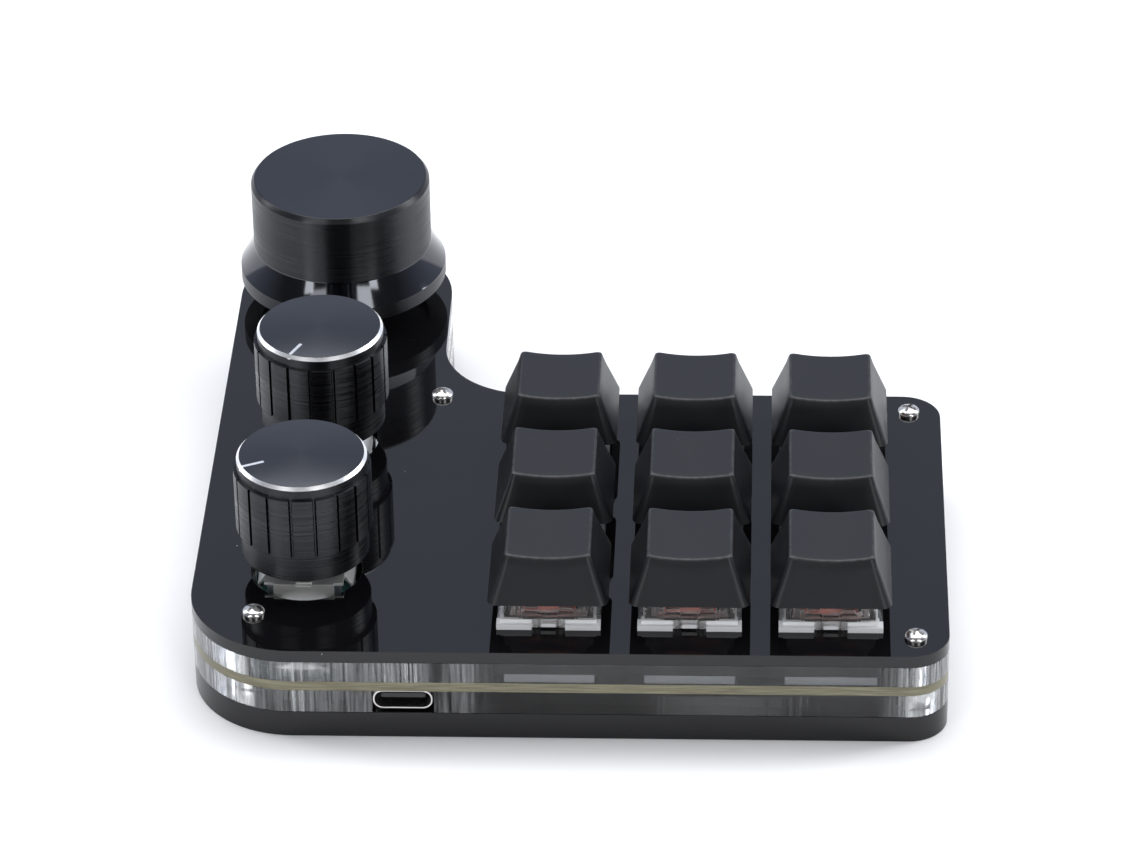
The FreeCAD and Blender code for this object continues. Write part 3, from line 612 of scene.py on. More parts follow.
clear_sheets = [
    clear_sheet("upper_spacer", UPPER_ACRYLIC), clear_sheet("lower_spacer", LOWER_ACRYLIC)]
print([sheet.name for sheet in clear_sheets])

# %% [markdown]
# The electronics keep the model's shapes. They are small, and most lie deep between the sheets, so
# a soft edge and the right finish are all that they need. The table gives the way that a node's
# name begins, its finish and the width of its bevel in millimetres.

# %% Small pieces that keep the model's shape
SOFTENED = [
    ("brass_standoffs", NICKEL, 0.05),
    ("usb_port_shell", NICKEL, 0.05),
    ("usb_port_tongue", TONGUE_BLACK, 0.05),
    ("controller_parts", CHIP_BLACK, 0.08),
    ("switch_contacts", PIN_PLATE, 0.0),
    ("encoder_bases", ENCODER_TEAL, 0.08),
    ("encoder_covers", COVER_STEEL, 0.06),
    ("encoder_bushings", CAST_ZINC, 0.08),
    ("encoder_pins", PIN_PLATE, 0.0),
    ("encoder_rotor_", ROTOR_IVORY, 0.05),
    ("encoder_shaft_", NICKEL, 0.1),
    ("grub_screw_", BLACKENED_STEEL, 0.05),
]
small_pieces = [
    soften(node, material, bevel_mm)
    for start, material, bevel_mm in SOFTENED for node in nodes_named(start)]
print("softened", len(small_pieces), "pieces")

# %% [markdown]
# The tongue in the mouth of the inlet carries a row of fine plated contacts. Each is a flat bar
# that goes through the tongue and stands a hair proud of it on both sides, so one box serves for
# the upper and the lower contact.

# %% Contacts of the inlet
CONTACTS = 12
CONTACT_PITCH = 0.5
CONTACT_SIZE = Vector((0.28, 2.3, 0.74))
CONTACT_SETBACK = 1.2


def add_box(shape, corner, opposite):
    """A closed box between two opposite corners."""
    for vertex in bmesh.ops.create_cube(shape, size=1.0)["verts"]:
        vertex.co = Vector([
            (a + b) / 2 + c * abs(b - a) for a, b, c in zip(corner, opposite, vertex.co)])


def metre_mesh(name, shape, centre=Vector()):
    """A shape in millimetres about a centre, as a mesh in metres."""
    for vertex in shape.verts:
        vertex.co = vertex.co * MM + centre
    mesh = bpy.data.meshes.new(name)
    shape.to_mesh(mesh)
    shape.free()
    return mesh


low, high = (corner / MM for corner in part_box("usb_port_tongue"))
shape = bmesh.new()
for index in range(CONTACTS):
    x = (low.x + high.x) / 2 + (index - (CONTACTS - 1) / 2) * CONTACT_PITCH
    middle = Vector((x, low.y + CONTACT_SETBACK, (low.z + high.z) / 2))
    add_box(shape, middle - CONTACT_SIZE / 2, middle + CONTACT_SIZE / 2)
place_piece("usb_port_contacts", metre_mesh("port contacts", shape), "usb_port_tongue", NICKEL)
print("port contacts", CONTACTS)

# %% [markdown]
# Screws, ribs and coils repeat or follow a rule, so Geometry Nodes make them. Each tree has its
# sizes as named inputs. The helpers here start such a tree, end it in real geometry with its
# finish, turn the result into a plain mesh, and find where each separate solid of a node stands.

# %% Helpers for Geometry Nodes
def sized_tree(name, sizes, plain=(), points=False):
    """A tree with named inputs in millimetres, except plain ones such as counts.

    Gives the tree, a socket for each input, with lengths in metres, and each identifier."""
    tree = bpy.data.node_groups.new(name, "GeometryNodeTree")
    new_socket = tree.interface.new_socket
    if points:
        new_socket("Points", in_out="INPUT", socket_type="NodeSocketGeometry")
    identifiers = {}
    for size, value in sizes.items():
        socket = new_socket(size, in_out="INPUT", socket_type="NodeSocketFloat")
        socket.default_value = value
        identifiers[size] = socket.identifier
    new_socket("Geometry", in_out="OUTPUT", socket_type="NodeSocketGeometry")
    given = tree.nodes.new("NodeGroupInput").outputs
    found = {name: given[name] for name in plain + (("Points",) if points else ())}
    for size in sizes:
        if size not in plain:
            found[size] = calculate(tree, "MULTIPLY", given[size], MM)
    return tree, found, identifiers


def vector_of(tree, x, y, z):
    """A vector from three sockets or numbers."""
    return add_node(tree, "ShaderNodeCombineXYZ", {0: x, 1: y, 2: z}).outputs[0]


def moved_points(tree, geometry, places):
    """Geometry with every point put in its new place."""
    return add_node(
        tree, "GeometryNodeSetPosition", {"Geometry": geometry, "Position": places}).outputs[0]


def joined(tree, *geometries):
    """Several geometries as one."""
    node = tree.nodes.new("GeometryNodeJoinGeometry")
    for geometry in geometries:
        tree.links.new(geometry, node.inputs[0])
    return node.outputs[0]


def finish_tree(tree, geometry, material):
    """End a tree in real geometry with its finish."""
    real = add_node(tree, "GeometryNodeRealizeInstances", {"Geometry": geometry})
    painted = add_node(tree, "GeometryNodeSetMaterial", {
        "Geometry": real.outputs["Geometry"], "Material": material})
    add_node(tree, "NodeGroupOutput", {0: painted.outputs["Geometry"]})


def run_tree(tree, name, inputs, mesh=None):
    """Run a tree once and give back its result as a plain mesh."""
    holder = new_object(name + " holder", mesh or bpy.data.meshes.new(name))
    modifier = holder.modifiers.new("tree", "NODES")
    modifier.node_group = tree
    for identifier, value in inputs.items():
        modifier[identifier] = value
    evaluated = holder.evaluated_get(bpy.context.evaluated_depsgraph_get())
    result = bpy.data.meshes.new_from_object(evaluated)
    result.name = name
    holder.modifiers.remove(modifier)
    bpy.data.objects.remove(holder)
    return result


def solid_boxes(node):
    """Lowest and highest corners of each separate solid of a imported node."""
    shape = bmesh.new()
    shape.from_mesh(frame["nodes"][node].data)
    bmesh.ops.remove_doubles(shape, verts=shape.verts, dist=WELD)
    boxes = []
    waiting = set(shape.verts)
    while waiting:
        reached = [waiting.pop()]
        for vertex in reached:
            for edge in vertex.link_edges:
                other = edge.other_vert(vertex)
                if other in waiting:
                    waiting.remove(other)
                    reached.append(other)
        boxes.append([
            Vector([pick(v.co[axis] for v in reached) for axis in range(3)])
            for pick in (min, max)])
    shape.free()
    return sorted(boxes, key=lambda box: (round(box[0].y, 4), round(box[0].x, 4)))


print("screws on top", len(solid_boxes("top_screws")))

# %% [markdown]
# The screws have a low domed head with a cross recess. The head is a flat grid rolled round an
# axis: one side of the grid gives the angle, the other runs along the outline from the middle of
# the underside, round the rim and over the dome. Two bars cut the cross. One screw stands on each
# point that the tree is given, and each is turned by chance, as a screwdriver leaves them.

# %% Cross-headed screws
HEAD_HEIGHT = 1.25
UNDERSIDE_END = 0.2
RIM_END = 0.35
RIM_HEIGHT = 0.25
SCREW_SIZES = {
    "Head Radius": 1.75, "Head Height": HEAD_HEIGHT, "Shank Radius": 1.0, "Shank Length": 9.0,
    "Cross Span": 2.4, "Cross Width": 0.5, "Cross Depth": 0.62,
}


def domed_head(tree, radius, height):
    """A grid rolled into a closed domed head."""
    calc = partial(calculate, tree)
    times = partial(calculate, tree, "MULTIPLY")
    grid = add_node(tree, "GeometryNodeMeshGrid", {
        "Size X": 1.0, "Size Y": 1.0, "Vertices X": 37, "Vertices Y": 21})
    place = add_node(tree, "GeometryNodeInputPosition").outputs[0]
    angle = times(calc("ADD", coordinate(tree, place, "X"), 0.5), 2 * math.pi)
    along = calc("ADD", coordinate(tree, place, "Y"), 0.5)
    under = spread(tree, along, 0.0, 1.0, 0.0, UNDERSIDE_END)
    rim = spread(tree, along, 0.0, 1.0, UNDERSIDE_END, RIM_END)
    lean = spread(tree, along, 0.0, math.pi / 2, RIM_END, 1.0)
    reach = times(times(under, calc("COSINE", lean)), radius)
    up = calc("ADD", times(rim, RIM_HEIGHT), times(calc("SINE", lean), 1 - RIM_HEIGHT))
    rolled = vector_of(
        tree, times(reach, calc("COSINE", angle)), times(reach, calc("SINE", angle)),
        times(up, height))
    return add_node(tree, "GeometryNodeMergeByDistance", {
        "Geometry": moved_points(tree, grid.outputs["Mesh"], rolled), "Distance": 1e-6,
    }).outputs[0]


def shifted(tree, geometry, z, turn=0.0):
    """Geometry lifted by a length and turned about Z."""
    return add_node(tree, "GeometryNodeTransform", {
        "Geometry": geometry, "Translation": vector_of(tree, 0.0, 0.0, z),
        "Rotation": (0, 0, turn),
    }).outputs[0]


def screw_tree(material):
    """A screw on every point of the given mesh, its head's seat at the point."""
    tree, size, identifiers = sized_tree("cross-headed screw", SCREW_SIZES, points=True)
    times = partial(calculate, tree, "MULTIPLY")
    bar = add_node(tree, "GeometryNodeMeshCube", {"Size": vector_of(
        tree, size["Cross Span"], size["Cross Width"], times(size["Cross Depth"], 2.0))})
    head = domed_head(tree, size["Head Radius"], size["Head Height"])
    cut = add_node(
        tree, "GeometryNodeMeshBoolean", {"Mesh 1": head}, operation="DIFFERENCE", solver="EXACT")
    feed(tree, cut, {"Self Intersection": True})
    for turn in (0.0, math.pi / 2):
        feed(tree, cut, {
            "Mesh 2": shifted(tree, bar.outputs["Mesh"], size["Head Height"], turn)})
    shank = add_node(tree, "GeometryNodeMeshCylinder", {
        "Vertices": 20, "Radius": size["Shank Radius"], "Depth": size["Shank Length"]})
    lowered = shifted(tree, shank.outputs["Mesh"], times(size["Shank Length"], -0.5))
    chance = add_node(
        tree, "FunctionNodeRandomValue", {"Max": (0, 0, 2 * math.pi), "Seed": 4},
        data_type="FLOAT_VECTOR")
    stand = add_node(tree, "GeometryNodeInstanceOnPoints", {
        "Points": size["Points"], "Instance": joined(tree, cut.outputs["Mesh"], lowered),
        "Rotation": chance.outputs["Value"]})
    finish_tree(tree, stand.outputs["Instances"], material)
    return tree, identifiers


def outward(mesh):
    """Point every face outwards and shade the mesh smoothly between sharp edges."""
    shape = bmesh.new()
    shape.from_mesh(mesh)
    bmesh.ops.recalc_face_normals(shape, faces=shape.faces)
    shape.to_mesh(mesh)
    shape.free()
    smooth(mesh, 35)
    return mesh


def set_screws(node, head_up):
    """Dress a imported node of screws, heads up or heads down."""
    flip = Matrix.Identity(4) if head_up else Matrix.Rotation(math.pi, 4, "X")
    points = []
    for low, high in solid_boxes(node):
        middle = (low + high) / 2
        seat = high.z - HEAD_HEIGHT * MM if head_up else low.z + HEAD_HEIGHT * MM
        points.append(flip @ Vector((middle.x, middle.y, seat)))
    seats = bpy.data.meshes.new(node + " seats")
    seats.from_pydata(points, [], [])
    length = (high.z - low.z) / MM - HEAD_HEIGHT
    mesh = run_tree(screws, node, {screw_inputs["Shank Length"]: length}, seats)
    mesh.transform(flip)
    return place_piece(node + "_dressed", outward(mesh), node, NICKEL)


screws, screw_inputs = screw_tree(NICKEL)
top_screws = set_screws("top_screws", True)
bottom_screws = set_screws("bottom_screws", False)
print(top_screws.name, bottom_screws.name)

# %% [markdown]
# The white lower half of a switch rests on the plate only at its front and back, so its sides are
# cut back here, and a small ledge is added in the middle of its front and back. The clear upper
# half gets what the photograph shows of it below the caps: a post in each corner, thin ribs beside
# them, and two pairs of hooked latches that reach down into the white half. The boxes are small, so
# each is written down once, from the middle of the switch and the face of the plate, mirrored to
# its other places, and bevelled.

# %% Key switch housings
LATCH_BOXES = [
    ((4.55, -6.72, 1.5), (6.6, -5.0, 3.55)),
    ((4.1, -7.0, 1.5), (4.4, -5.8, 3.3)),
    ((1.35, -7.12, 1.5), (3.9, -6.6, 2.55)),
    ((1.35, -7.12, 0.15), (2.15, -6.75, 1.6)),
    ((1.55, -6.7, 2.5), (3.6, -6.25, 3.3)),
    ((0.0, -6.9, 1.5), (1.1, -6.3, 2.2)),
]
SIDE_CUT = ((6.97, -6.0, 0.0), (7.9, 6.0, 1.6))
LEDGE = ((-1.1, -7.5, 0.35), (1.1, -6.6, 0.95))
LEFT_AND_RIGHT = ((1, 1), (-1, 1))
FRONT_AND_BACK = ((1, 1), (1, -1))
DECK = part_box("top_plate")[1][2] / MM


def add_boxes(shape, boxes, mirrors, point):
    """Boxes about the place on the plate's face below a point, in all their mirrored places."""
    origin = Vector((point.x / MM, point.y / MM, DECK))
    for corners in boxes:
        for over_x, over_y in mirrors:
            mirror = Vector((over_x, over_y, 1))
            add_box(shape, *[Vector(corner) * mirror + origin for corner in corners])


def switch_boxes(name, boxes, mirrors):
    """Boxes round every switch, as one mesh."""
    shape = bmesh.new()
    for low, high in solid_boxes("switch_lower_housings"):
        add_boxes(shape, boxes, mirrors, (low + high) / 2)
    return metre_mesh(name, shape)


def cut_away(mesh, cutter_mesh):
    """Take one mesh out of another and give back a plain mesh."""
    body = new_object("housing to cut", mesh)
    cutter = new_object("side cutter", cutter_mesh)
    boolean = body.modifiers.new("sides", "BOOLEAN")
    boolean.operation = "DIFFERENCE"
    boolean.object = cutter
    boolean.solver = "EXACT"
    result = bpy.data.meshes.new_from_object(
        body.evaluated_get(bpy.context.evaluated_depsgraph_get()))
    for made in (body, cutter):
        bpy.data.objects.remove(made)
    return result


def united(mesh, added):
    """A mesh with another one added, its faces pointing outwards."""
    shape = bmesh.new()
    shape.from_mesh(mesh)
    shape.from_mesh(added)
    shape.to_mesh(mesh)
    shape.free()
    return outward(mesh)


lower = united(
    cut_away(joined_mesh("switch_lower_housings"), switch_boxes("sides", [SIDE_CUT], LEFT_AND_RIGHT)),
    switch_boxes("ledges", [LEDGE], FRONT_AND_BACK))
bevelled(place_piece(
    "switch_lower_housings_dressed", lower, "switch_lower_housings", SWITCH_WHITE), 0.1)
soften("switch_upper_housings", SWITCH_CLEAR, 0.1)
latches = place_piece(
    "switch_latches", switch_boxes("latches", LATCH_BOXES, LEFT_AND_RIGHT + ((1, -1), (-1, -1))),
    "switch_upper_housings", SWITCH_CLEAR, stands_for_node=False)
bevelled(latches, 0.08)
print("switch latches", len(latches.data.polygons), "faces")

# %% [markdown]
# Behind the clear half the photograph shows a broad red slider. On the real switch it is one
# moulding with the stem. Each stem keeps the model's mesh, and a plate is added in front of its
# shoulder and another behind it, in the same mesh, so that they go down with the key.

# %% Red sliders
SLIDER = ((-3.9, -3.95, 1.4), (3.9, -3.3, 4.9))


def slider_mesh(node):
    """A stem's own mesh with the slider plates in front of and behind its shoulder."""
    shape = bmesh.new()
    add_boxes(shape, [SLIDER], FRONT_AND_BACK, foot(node))
    return united(joined_mesh(node), metre_mesh("slider plates", shape))


for node in nodes_named("stem_"):
    bevelled(place_piece(node + "_dressed", slider_mesh(node), node, SWITCH_RED), 0.1)
print("sliders", len(nodes_named("stem_")))

# %% [markdown]
# A keycap is moulded with leaning sides, soft edges and a top that is hollowed like a trough for
# the finger. It is built as a stack of closed rings, like ribs on a boat. This cell holds the
# cap's sizes, the ring itself, and the two rules that the rings follow: how high the hollowed top
# is at a place, and how wide the leaning sides are at a height.

# %% Keycap rings
CAP_BASE = 18.1
CAP_TOP_WIDTH = 12.4
CAP_TOP_DEPTH = 13.1
CAP_HEIGHT = 7.6
CAP_HOLLOW = 0.65
CAP_CORNER = 1.5
CAP_TOP_CORNER = 0.8
CORNER_STEPS = 6
SIDE_STEPS = 10


def rounded_ring(width, depth, corner, height_at):
    """Points round a rectangle with round corners; height_at gives z from x and y."""
    arcs = []
    for index, (x, y) in enumerate(((1, -1), (1, 1), (-1, 1), (-1, -1))):
        centre = Vector((x * (width / 2 - corner), y * (depth / 2 - corner)))
        shares = [index - 1 + step / CORNER_STEPS for step in range(CORNER_STEPS + 1)]
        turns = [math.radians(90 * share) for share in shares]
        arcs.append([centre + corner * Vector((math.cos(a), math.sin(a))) for a in turns])
    points = []
    for arc, following in zip(arcs, arcs[1:] + arcs[:1]):
        points += arc
        points += [arc[-1].lerp(following[0], i / SIDE_STEPS) for i in range(1, SIDE_STEPS)]
    return [Vector((p.x, p.y, height_at(p.x, p.y))) for p in points]


def cap_top_height(x, y):
    """Height of the hollowed top above the skirt."""
    across = min(1.0, abs(2 * x / CAP_TOP_WIDTH))
    return CAP_HEIGHT - CAP_HOLLOW * (1 - across * across)


def side_size(height):
    """Width and depth of the leaning sides at a height."""
    share = height / CAP_HEIGHT
    width = CAP_BASE + (CAP_TOP_WIDTH - CAP_BASE) * share
    depth = CAP_BASE + (CAP_TOP_DEPTH - CAP_BASE) * share
    return width, depth


print("points in a ring", len(rounded_ring(CAP_BASE, CAP_BASE, CAP_CORNER, lambda x, y: 0.0)))

# %% [markdown]
# The outer rings follow the skirt, turn over the soft top edge and then shrink over the hollow.
# A second stack makes the inside, so the cap is a true shell when it is seen from below, and a
# round socket under the roof grips the stem. Quads join neighbouring rings, which keeps the faces
# even all round and gives the soft edge rings of their own for the edge attribute that lightens them.

# %% Keycap surface
EDGE_STEPS = 4
TOP_STEPS = 7
SIDE_LEVELS = [0.0, 0.15, 1.5, 3.0, 4.5, 5.6]
EDGE_ROUND = 0.3
EDGE_LEAN = 0.035
CAP_WALL = 1.25
CAP_ROOF = 5.7
ROOF_CORNER = 0.6
INNER_CORNER = 0.64
SOCKET_RADIUS = 2.7
SOCKET_BORE = 2.05
SOCKET_FLOOR = 1.9
SOCKET_TOP = 5.8
SOCKET_STEPS = 32


def outer_rings():
    """Rings from the skirt, over the soft edge and across the hollow."""
    rings = []
    for level in SIDE_LEVELS:
        corner = CAP_CORNER + (CAP_TOP_CORNER - CAP_CORNER) * level / CAP_HEIGHT
        rings.append(rounded_ring(*side_size(level), corner, lambda x, y, z=level: z))
    for step in range(EDGE_STEPS + 1):
        share = step / EDGE_STEPS
        angle = math.radians(90 * share)
        inset = 2 * EDGE_ROUND * (1 - math.cos(angle))
        drop = EDGE_ROUND * (1 - math.sin(angle))
        lean = 1 + EDGE_LEAN * (1 - share)
        rings.append(rounded_ring(
            (CAP_TOP_WIDTH - inset) * lean, (CAP_TOP_DEPTH - inset) * lean, CAP_TOP_CORNER,
            lambda x, y, lower=drop: cap_top_height(x, y) - lower))
    for step in range(1, TOP_STEPS):
        share = 1 - step / TOP_STEPS
        rings.append(rounded_ring(
            (CAP_TOP_WIDTH - 2 * EDGE_ROUND) * share, (CAP_TOP_DEPTH - 2 * EDGE_ROUND) * share,
            CAP_TOP_CORNER * share, cap_top_height))
    return rings


def inner_rings():
    """Rings of the inside, from the rim up to the roof."""
    rings = []
    for level, pull in ((0.0, CAP_WALL), (CAP_ROOF - ROOF_CORNER, CAP_WALL),
                        (CAP_ROOF, CAP_WALL + ROOF_CORNER)):
        width, depth = side_size(level)
        rings.append(rounded_ring(
            width - 2 * pull, depth - 2 * pull, INNER_CORNER, lambda x, y, z=level: z))
    return rings


def add_rings(shape, rings, faces_out=True):
    """Join neighbouring rings with quads; returns the rings' vertices."""
    made = [[shape.verts.new(point) for point in points] for points in rings]
    for lower, upper in zip(made, made[1:]):
        for i in range(len(lower)):
            j = (i + 1) % len(lower)
            corners = [lower[i], lower[j], upper[j], upper[i]]
            shape.faces.new(corners if faces_out else corners[::-1])
    return made


def circle(radius, height, steps):
    """Points round an upright axis."""
    turns = [2 * math.pi * i / steps for i in range(steps)]
    return [Vector((radius * math.cos(a), radius * math.sin(a), height)) for a in turns]


def add_socket(shape):
    """The round socket under the roof that grips the stem."""
    outline = [
        (SOCKET_RADIUS, SOCKET_FLOOR), (SOCKET_RADIUS, SOCKET_TOP), (SOCKET_BORE, SOCKET_TOP),
        (SOCKET_BORE, SOCKET_FLOOR), (SOCKET_RADIUS, SOCKET_FLOOR),
    ]
    add_rings(shape, [circle(radius, level, SOCKET_STEPS) for radius, level in outline])


def keycap_mesh(name, centre):
    """One whole keycap, its skirt's lower edge at centre."""
    shape = bmesh.new()
    edge = shape.verts.layers.float.new("edge")
    outer = add_rings(shape, outer_rings())
    for ring in outer[len(SIDE_LEVELS) + 1:len(SIDE_LEVELS) + EDGE_STEPS]:
        for vertex in ring:
            vertex[edge] = 1.0
    inner = add_rings(shape, inner_rings(), faces_out=False)
    shape.faces.new(outer[-1])
    shape.faces.new(inner[-1][::-1])
    rim_out = outer[0]
    rim_in = inner[0]
    for i in range(len(rim_out)):
        j = (i + 1) % len(rim_out)
        shape.faces.new([rim_out[j], rim_out[i], rim_in[i], rim_in[j]])
    add_socket(shape)
    mesh = metre_mesh(name, shape, centre)
    smooth(mesh, 50)
    return mesh


for node in nodes_named("keycap_"):
    place_piece(node + "_dressed", keycap_mesh(node, foot(node)), node, KEYCAP_PLASTIC)
print("keycaps", len(nodes_named("keycap_")))

# %% [markdown]
# A knob is turned on a lathe, so its shape is one outline swept round an axis. Each stretch of the
# outline may have its own finish: the whole knob is black, with painted light making its face and
# shoulder a lighter black than its sides, but the bevel of a small knob is cut after the black coat,
# which leaves a bright ring of bare metal.

# %% Turn an outline into a knob
KNOB_STEPS = 192
# Painted light: the face and the shoulder get a lighter black than the sides of the same metal.
KNOB_FACE_BLACK_PAINTED_LIGHT = (0.074, 0.077, 0.085)
KNOB_SIDE_BLACK = (0.048, 0.049, 0.052)


def lathe_mesh(name, outline, centre, materials, finishes):
    """Sweep (radius, height) points round an upright axis; finishes has one index a stretch."""
    shape = bmesh.new()
    rings = []
    for radius, height in outline:
        points = circle(radius, height, KNOB_STEPS) if radius > 0 else [(0, 0, height)]
        rings.append([shape.verts.new(point) for point in points])
    for lower, upper, finish in zip(rings, rings[1:], finishes):
        for i in range(KNOB_STEPS):
            j = (i + 1) % KNOB_STEPS
            corners = [lower[0]] if len(lower) == 1 else [lower[i], lower[j]]
            corners += [upper[0]] if len(upper) == 1 else [upper[j], upper[i]]
            shape.faces.new(corners).material_index = finish
    bmesh.ops.recalc_face_normals(shape, faces=shape.faces)
    mesh = metre_mesh(name, shape, centre)
    for material in materials:
        mesh.materials.append(material)
    smooth(mesh, 20)
    return mesh


print("lathe ready")

# %% [markdown]
# The large knob has a wide rim, a shoulder that slopes up from it, and a tall plain drum. The
# shoulder is polished and mirrors the lights sharply. The drum is brushed round, and the top is
# turned from the middle outwards, so each of the three has a finish of its own. The shoulder and
# the top are painted a lighter black than the drum, as painted light.

# %% Large knob
LARGE_OUTLINE = [
    (0, 3.0), (4.3, 3.0), (4.3, 1.2), (14.0, 1.2), (14.0, 0.0), (16.65, 0.0), (16.8, 0.15),
    (16.8, 2.45), (16.7, 2.6), (14.62, 6.18), (14.55, 6.4), (14.55, 17.3), (14.5, 17.42),
    (14.02, 18.05), (13.9, 18.1), (0, 18.1),
]
SLOPE, SIDE, FACE = range(3)
LARGE_FINISHES = 7 * [SIDE] + 3 * [SLOPE] + 4 * [SIDE] + [FACE]
large_centre = foot("knob_large")
large_metals = [
    # The shoulder and the face carry painted light in their lighter black.
    turned_metal("large knob slope", KNOB_FACE_BLACK_PAINTED_LIGHT, 0.09, large_centre, 0.001, 0.001, 0.0),
    turned_metal("large knob side", KNOB_SIDE_BLACK, 0.34, large_centre, 0.003, 0.004, 0.92),
    turned_metal("large knob face", KNOB_FACE_BLACK_PAINTED_LIGHT, 0.22, large_centre, 0.005, 0.003, 0.5),
]
large_mesh = lathe_mesh("large knob", LARGE_OUTLINE, large_centre, large_metals, LARGE_FINISHES)
place_piece("knob_large_dressed", large_mesh, "knob_large")
print("large knob", len(large_mesh.polygons), "faces")

# %% [markdown]
# The grip of a small knob is a row of rounded ribs with narrow grooves between. The ribs follow a
# rule, so a Geometry Nodes tree makes them: a many-sided circle is pushed inwards wherever its
# angle falls in a groove, filled, and drawn up to the height of the grip. The number of ribs and
# the sizes are inputs of the tree.

# %% Tree for the ribbed grip
RIBS = 18
STEPS_A_RIB = 40
GROOVE_STEEPNESS = 60.0
GRIP_BOTTOM = 4.7
GRIP_TOP = 14.8
GRIP_SIZES = {
    "Ribs": RIBS, "Radius": 10.4, "Groove Depth": 0.5, "Groove Share": 0.13,
    "Height": GRIP_TOP - GRIP_BOTTOM,
}


def grip_tree(material):
    """Ribs round a circle, as a closed prism."""
    tree, size, _ = sized_tree("ribbed grip", GRIP_SIZES, plain=("Ribs", "Groove Share"))
    calc = partial(calculate, tree)
    ring = add_node(tree, "GeometryNodeCurvePrimitiveCircle", {
        "Resolution": RIBS * STEPS_A_RIB, "Radius": 1.0})
    place = add_node(tree, "GeometryNodeInputPosition").outputs[0]
    angle = calc("ARCTAN2", coordinate(tree, place, "Y"), coordinate(tree, place, "X"))
    ribs = calc("MULTIPLY", calc("DIVIDE", angle, 2 * math.pi), size["Ribs"])
    share = calc("FRACT", calc("ADD", ribs, 100.0))
    from_middle = calc("ABSOLUTE", calc("SUBTRACT", share, 0.5))
    limit = calc("SUBTRACT", 0.5, calc("DIVIDE", size["Groove Share"], 2.0))
    past = calc("SUBTRACT", from_middle, limit)
    depth = calc("MULTIPLY", calc("MULTIPLY", past, GROOVE_STEEPNESS, clamp=True),
                 size["Groove Depth"])
    pushed = add_node(
        tree, "ShaderNodeVectorMath",
        {0: place, "Scale": calc("SUBTRACT", size["Radius"], depth)}, operation="SCALE")
    rounded = moved_points(tree, ring.outputs["Curve"], pushed.outputs[0])
    filled = add_node(tree, "GeometryNodeFillCurve", {"Curve": rounded}, mode="NGONS").outputs[0]
    drawn = add_node(tree, "GeometryNodeExtrudeMesh", {
        "Mesh": filled, "Offset Scale": size["Height"]}).outputs["Mesh"]
    base = add_node(tree, "GeometryNodeFlipFaces", {"Mesh": filled}).outputs[0]
    finish_tree(tree, joined(tree, base, drawn), material)
    return tree


print("grip tree ready")

# %% [markdown]
# A small knob is the turned body, the ribbed grip round it, and a pointer line cut across the edge
# of the face with an engraving tool, which shows bare metal like the bevel.

# %% Small knobs
SMALL_OUTLINE = [
    (0, 4.0), (3.1, 4.0), (3.1, 2.05), (4.3, 2.05), (4.3, 0.0), (9.5, 0.0), (9.65, 0.15),
    (9.65, 4.6), (9.85, 4.7), (9.85, 16.1), (9.85, 16.38), (9.43, 16.88), (9.37, 16.9), (0, 16.9),
]
BODY, BEVEL, TOP = range(3)
SMALL_FINISHES = 10 * [BODY] + [BEVEL, BODY, TOP]
POINTER_ANGLES = {"knob_front": -155.6, "knob_middle": -115.0}
POINTER_LINE = [(6.0, 16.93), (9.4, 16.93), (9.88, 16.4), (9.88, 16.25)]
POINTER_WIDTH = 0.5
POINTER_DEPTH = 0.25


def pointer_mesh(name, centre, angle):
    """A thin bright strip that lies in the face and bends down over the bevel."""
    shape = bmesh.new()
    across = Matrix.Rotation(math.radians(angle), 4, "Z")
    half = POINTER_WIDTH / 2
    sections = []
    for radius, height in POINTER_LINE:
        inner = min(radius, POINTER_LINE[-1][0] - POINTER_DEPTH)
        floor_height = height - POINTER_DEPTH
        sections.append([across @ Vector(corner) for corner in (
            (radius, -half, height), (radius, half, height),
            (inner, half, floor_height), (inner, -half, floor_height))])
    made = add_rings(shape, sections)
    shape.faces.new(made[0])
    shape.faces.new(made[-1][::-1])
    bmesh.ops.recalc_face_normals(shape, faces=shape.faces)
    return metre_mesh(name, shape, centre)


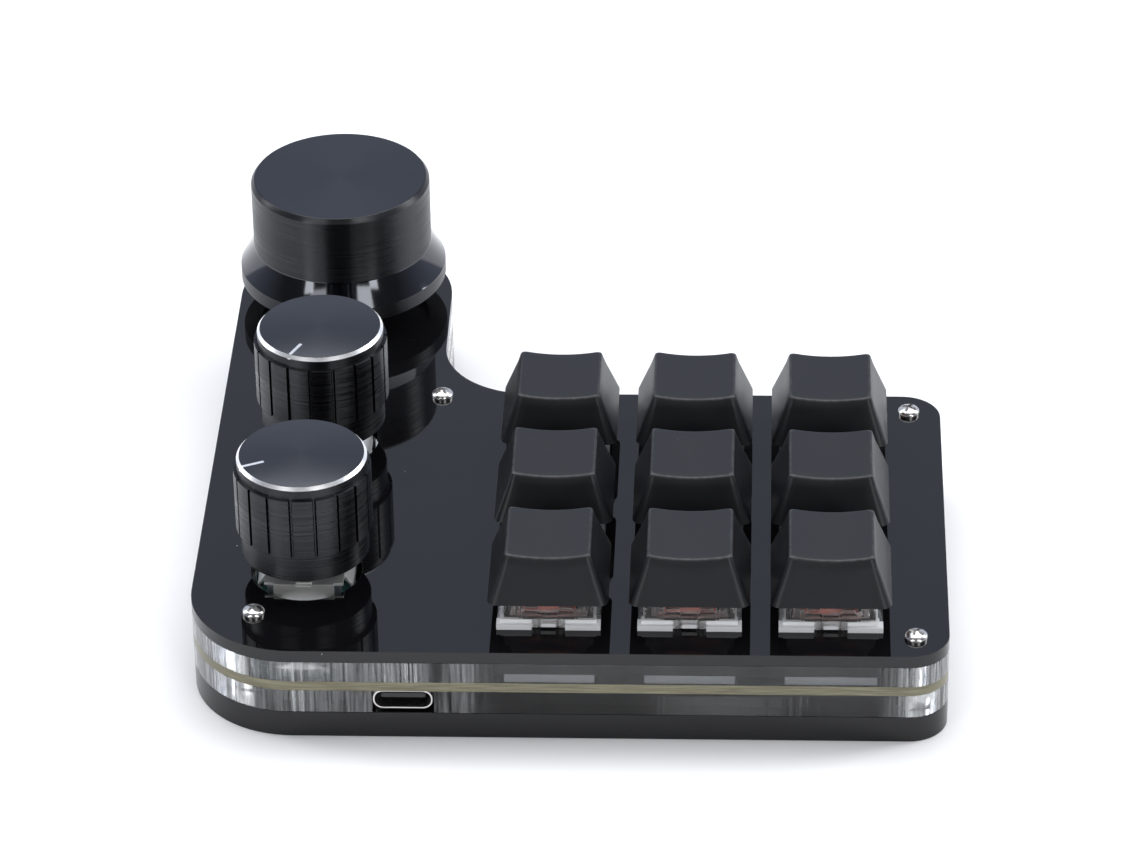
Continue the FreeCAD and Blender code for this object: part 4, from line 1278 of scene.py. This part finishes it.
def small_knob(node):
    """One small knob: turned body, ribbed grip and pointer line."""
    centre = foot(node)
    angle = POINTER_ANGLES[node]
    black = turned_metal(node + " side", KNOB_SIDE_BLACK, 0.32, centre, 0.004, 0.05, 0.94)
    # Painted light: the face gets the lighter black.
    face = turned_metal(node + " face", KNOB_FACE_BLACK_PAINTED_LIGHT, 0.26, centre, 0.004, 0.004, 0.35)
    body = lathe_mesh(node, SMALL_OUTLINE, centre, [black, BARE_METAL, face], SMALL_FINISHES)
    place_piece(node + "_body", body, node)
    grip = run_tree(grip_tree(black), node + " grip", {})
    lift = Matrix.Translation(centre + Vector((0, 0, GRIP_BOTTOM * MM)))
    grip.transform(lift @ Matrix.Rotation(math.radians(angle), 4, "Z"))
    smooth(grip, 25)
    pointer = pointer_mesh(node + " pointer", centre, angle)
    place_piece(node + "_pointer", pointer, node, BARE_METAL, stands_for_node=False)
    return place_piece(node + "_grip", grip, node, stands_for_node=False)


for node in POINTER_ANGLES:
    made = small_knob(node)
    print(made.name, len(made.data.polygons), "faces")

# %% [markdown]
# Each switch has a coil spring under its stem. A spiral with no change of radius is a helix, and
# sweeping a small circle along it gives the wire. Each spring is its own piece with a mesh of its
# own, attached to the body of its node.

# %% Coil springs
WIRE_RADIUS = 0.16
COIL_SIZES = {"Turns": 9.0, "Coil Radius": 1.8, "Wire Radius": WIRE_RADIUS, "Length": 5.5}


def coil_tree(material):
    """Round wire wound in a helix."""
    tree, size, identifiers = sized_tree("coil spring", COIL_SIZES, plain=("Turns",))
    helix = add_node(tree, "GeometryNodeCurveSpiral", {
        "Resolution": 16, "Rotations": size["Turns"], "Start Radius": size["Coil Radius"],
        "End Radius": size["Coil Radius"], "Height": size["Length"]})
    section = add_node(tree, "GeometryNodeCurvePrimitiveCircle", {
        "Resolution": 6, "Radius": size["Wire Radius"]})
    sweep = add_node(tree, "GeometryNodeCurveToMesh", {
        "Curve": helix.outputs["Curve"], "Profile Curve": section.outputs["Curve"],
        "Fill Caps": True})
    finish_tree(tree, sweep.outputs["Mesh"], material)
    return tree, identifiers


springs, spring_inputs = coil_tree(SPRING_STEEL)
for node in nodes_named("spring_"):
    low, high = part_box(node)
    length = (high[2] - low[2]) / MM - 2 * WIRE_RADIUS
    coil = run_tree(springs, node, {spring_inputs["Length"]: length})
    seat = foot(node)
    coil.transform(Matrix.Translation(seat + Vector((0, 0, WIRE_RADIUS * MM))))
    coil.polygons.foreach_set("use_smooth", [True] * len(coil.polygons))
    piece = place_piece(node + "_coil", coil, node, SPRING_STEEL)
    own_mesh(piece)
print("springs", len(nodes_named("spring_")))

# %% [markdown]
# The floor gets its pale finish last.

# %% Floor finish
def floor_material():
    """Plain pale card with a faint tooth."""
    material, tree, shader = new_material("floor card", (0.92, 0.92, 0.92), 0.8)
    add_bump(tree, shader, noise(tree, millimetres(tree), 0.6), 0.01)
    return material


floor.data.materials.append(floor_material())
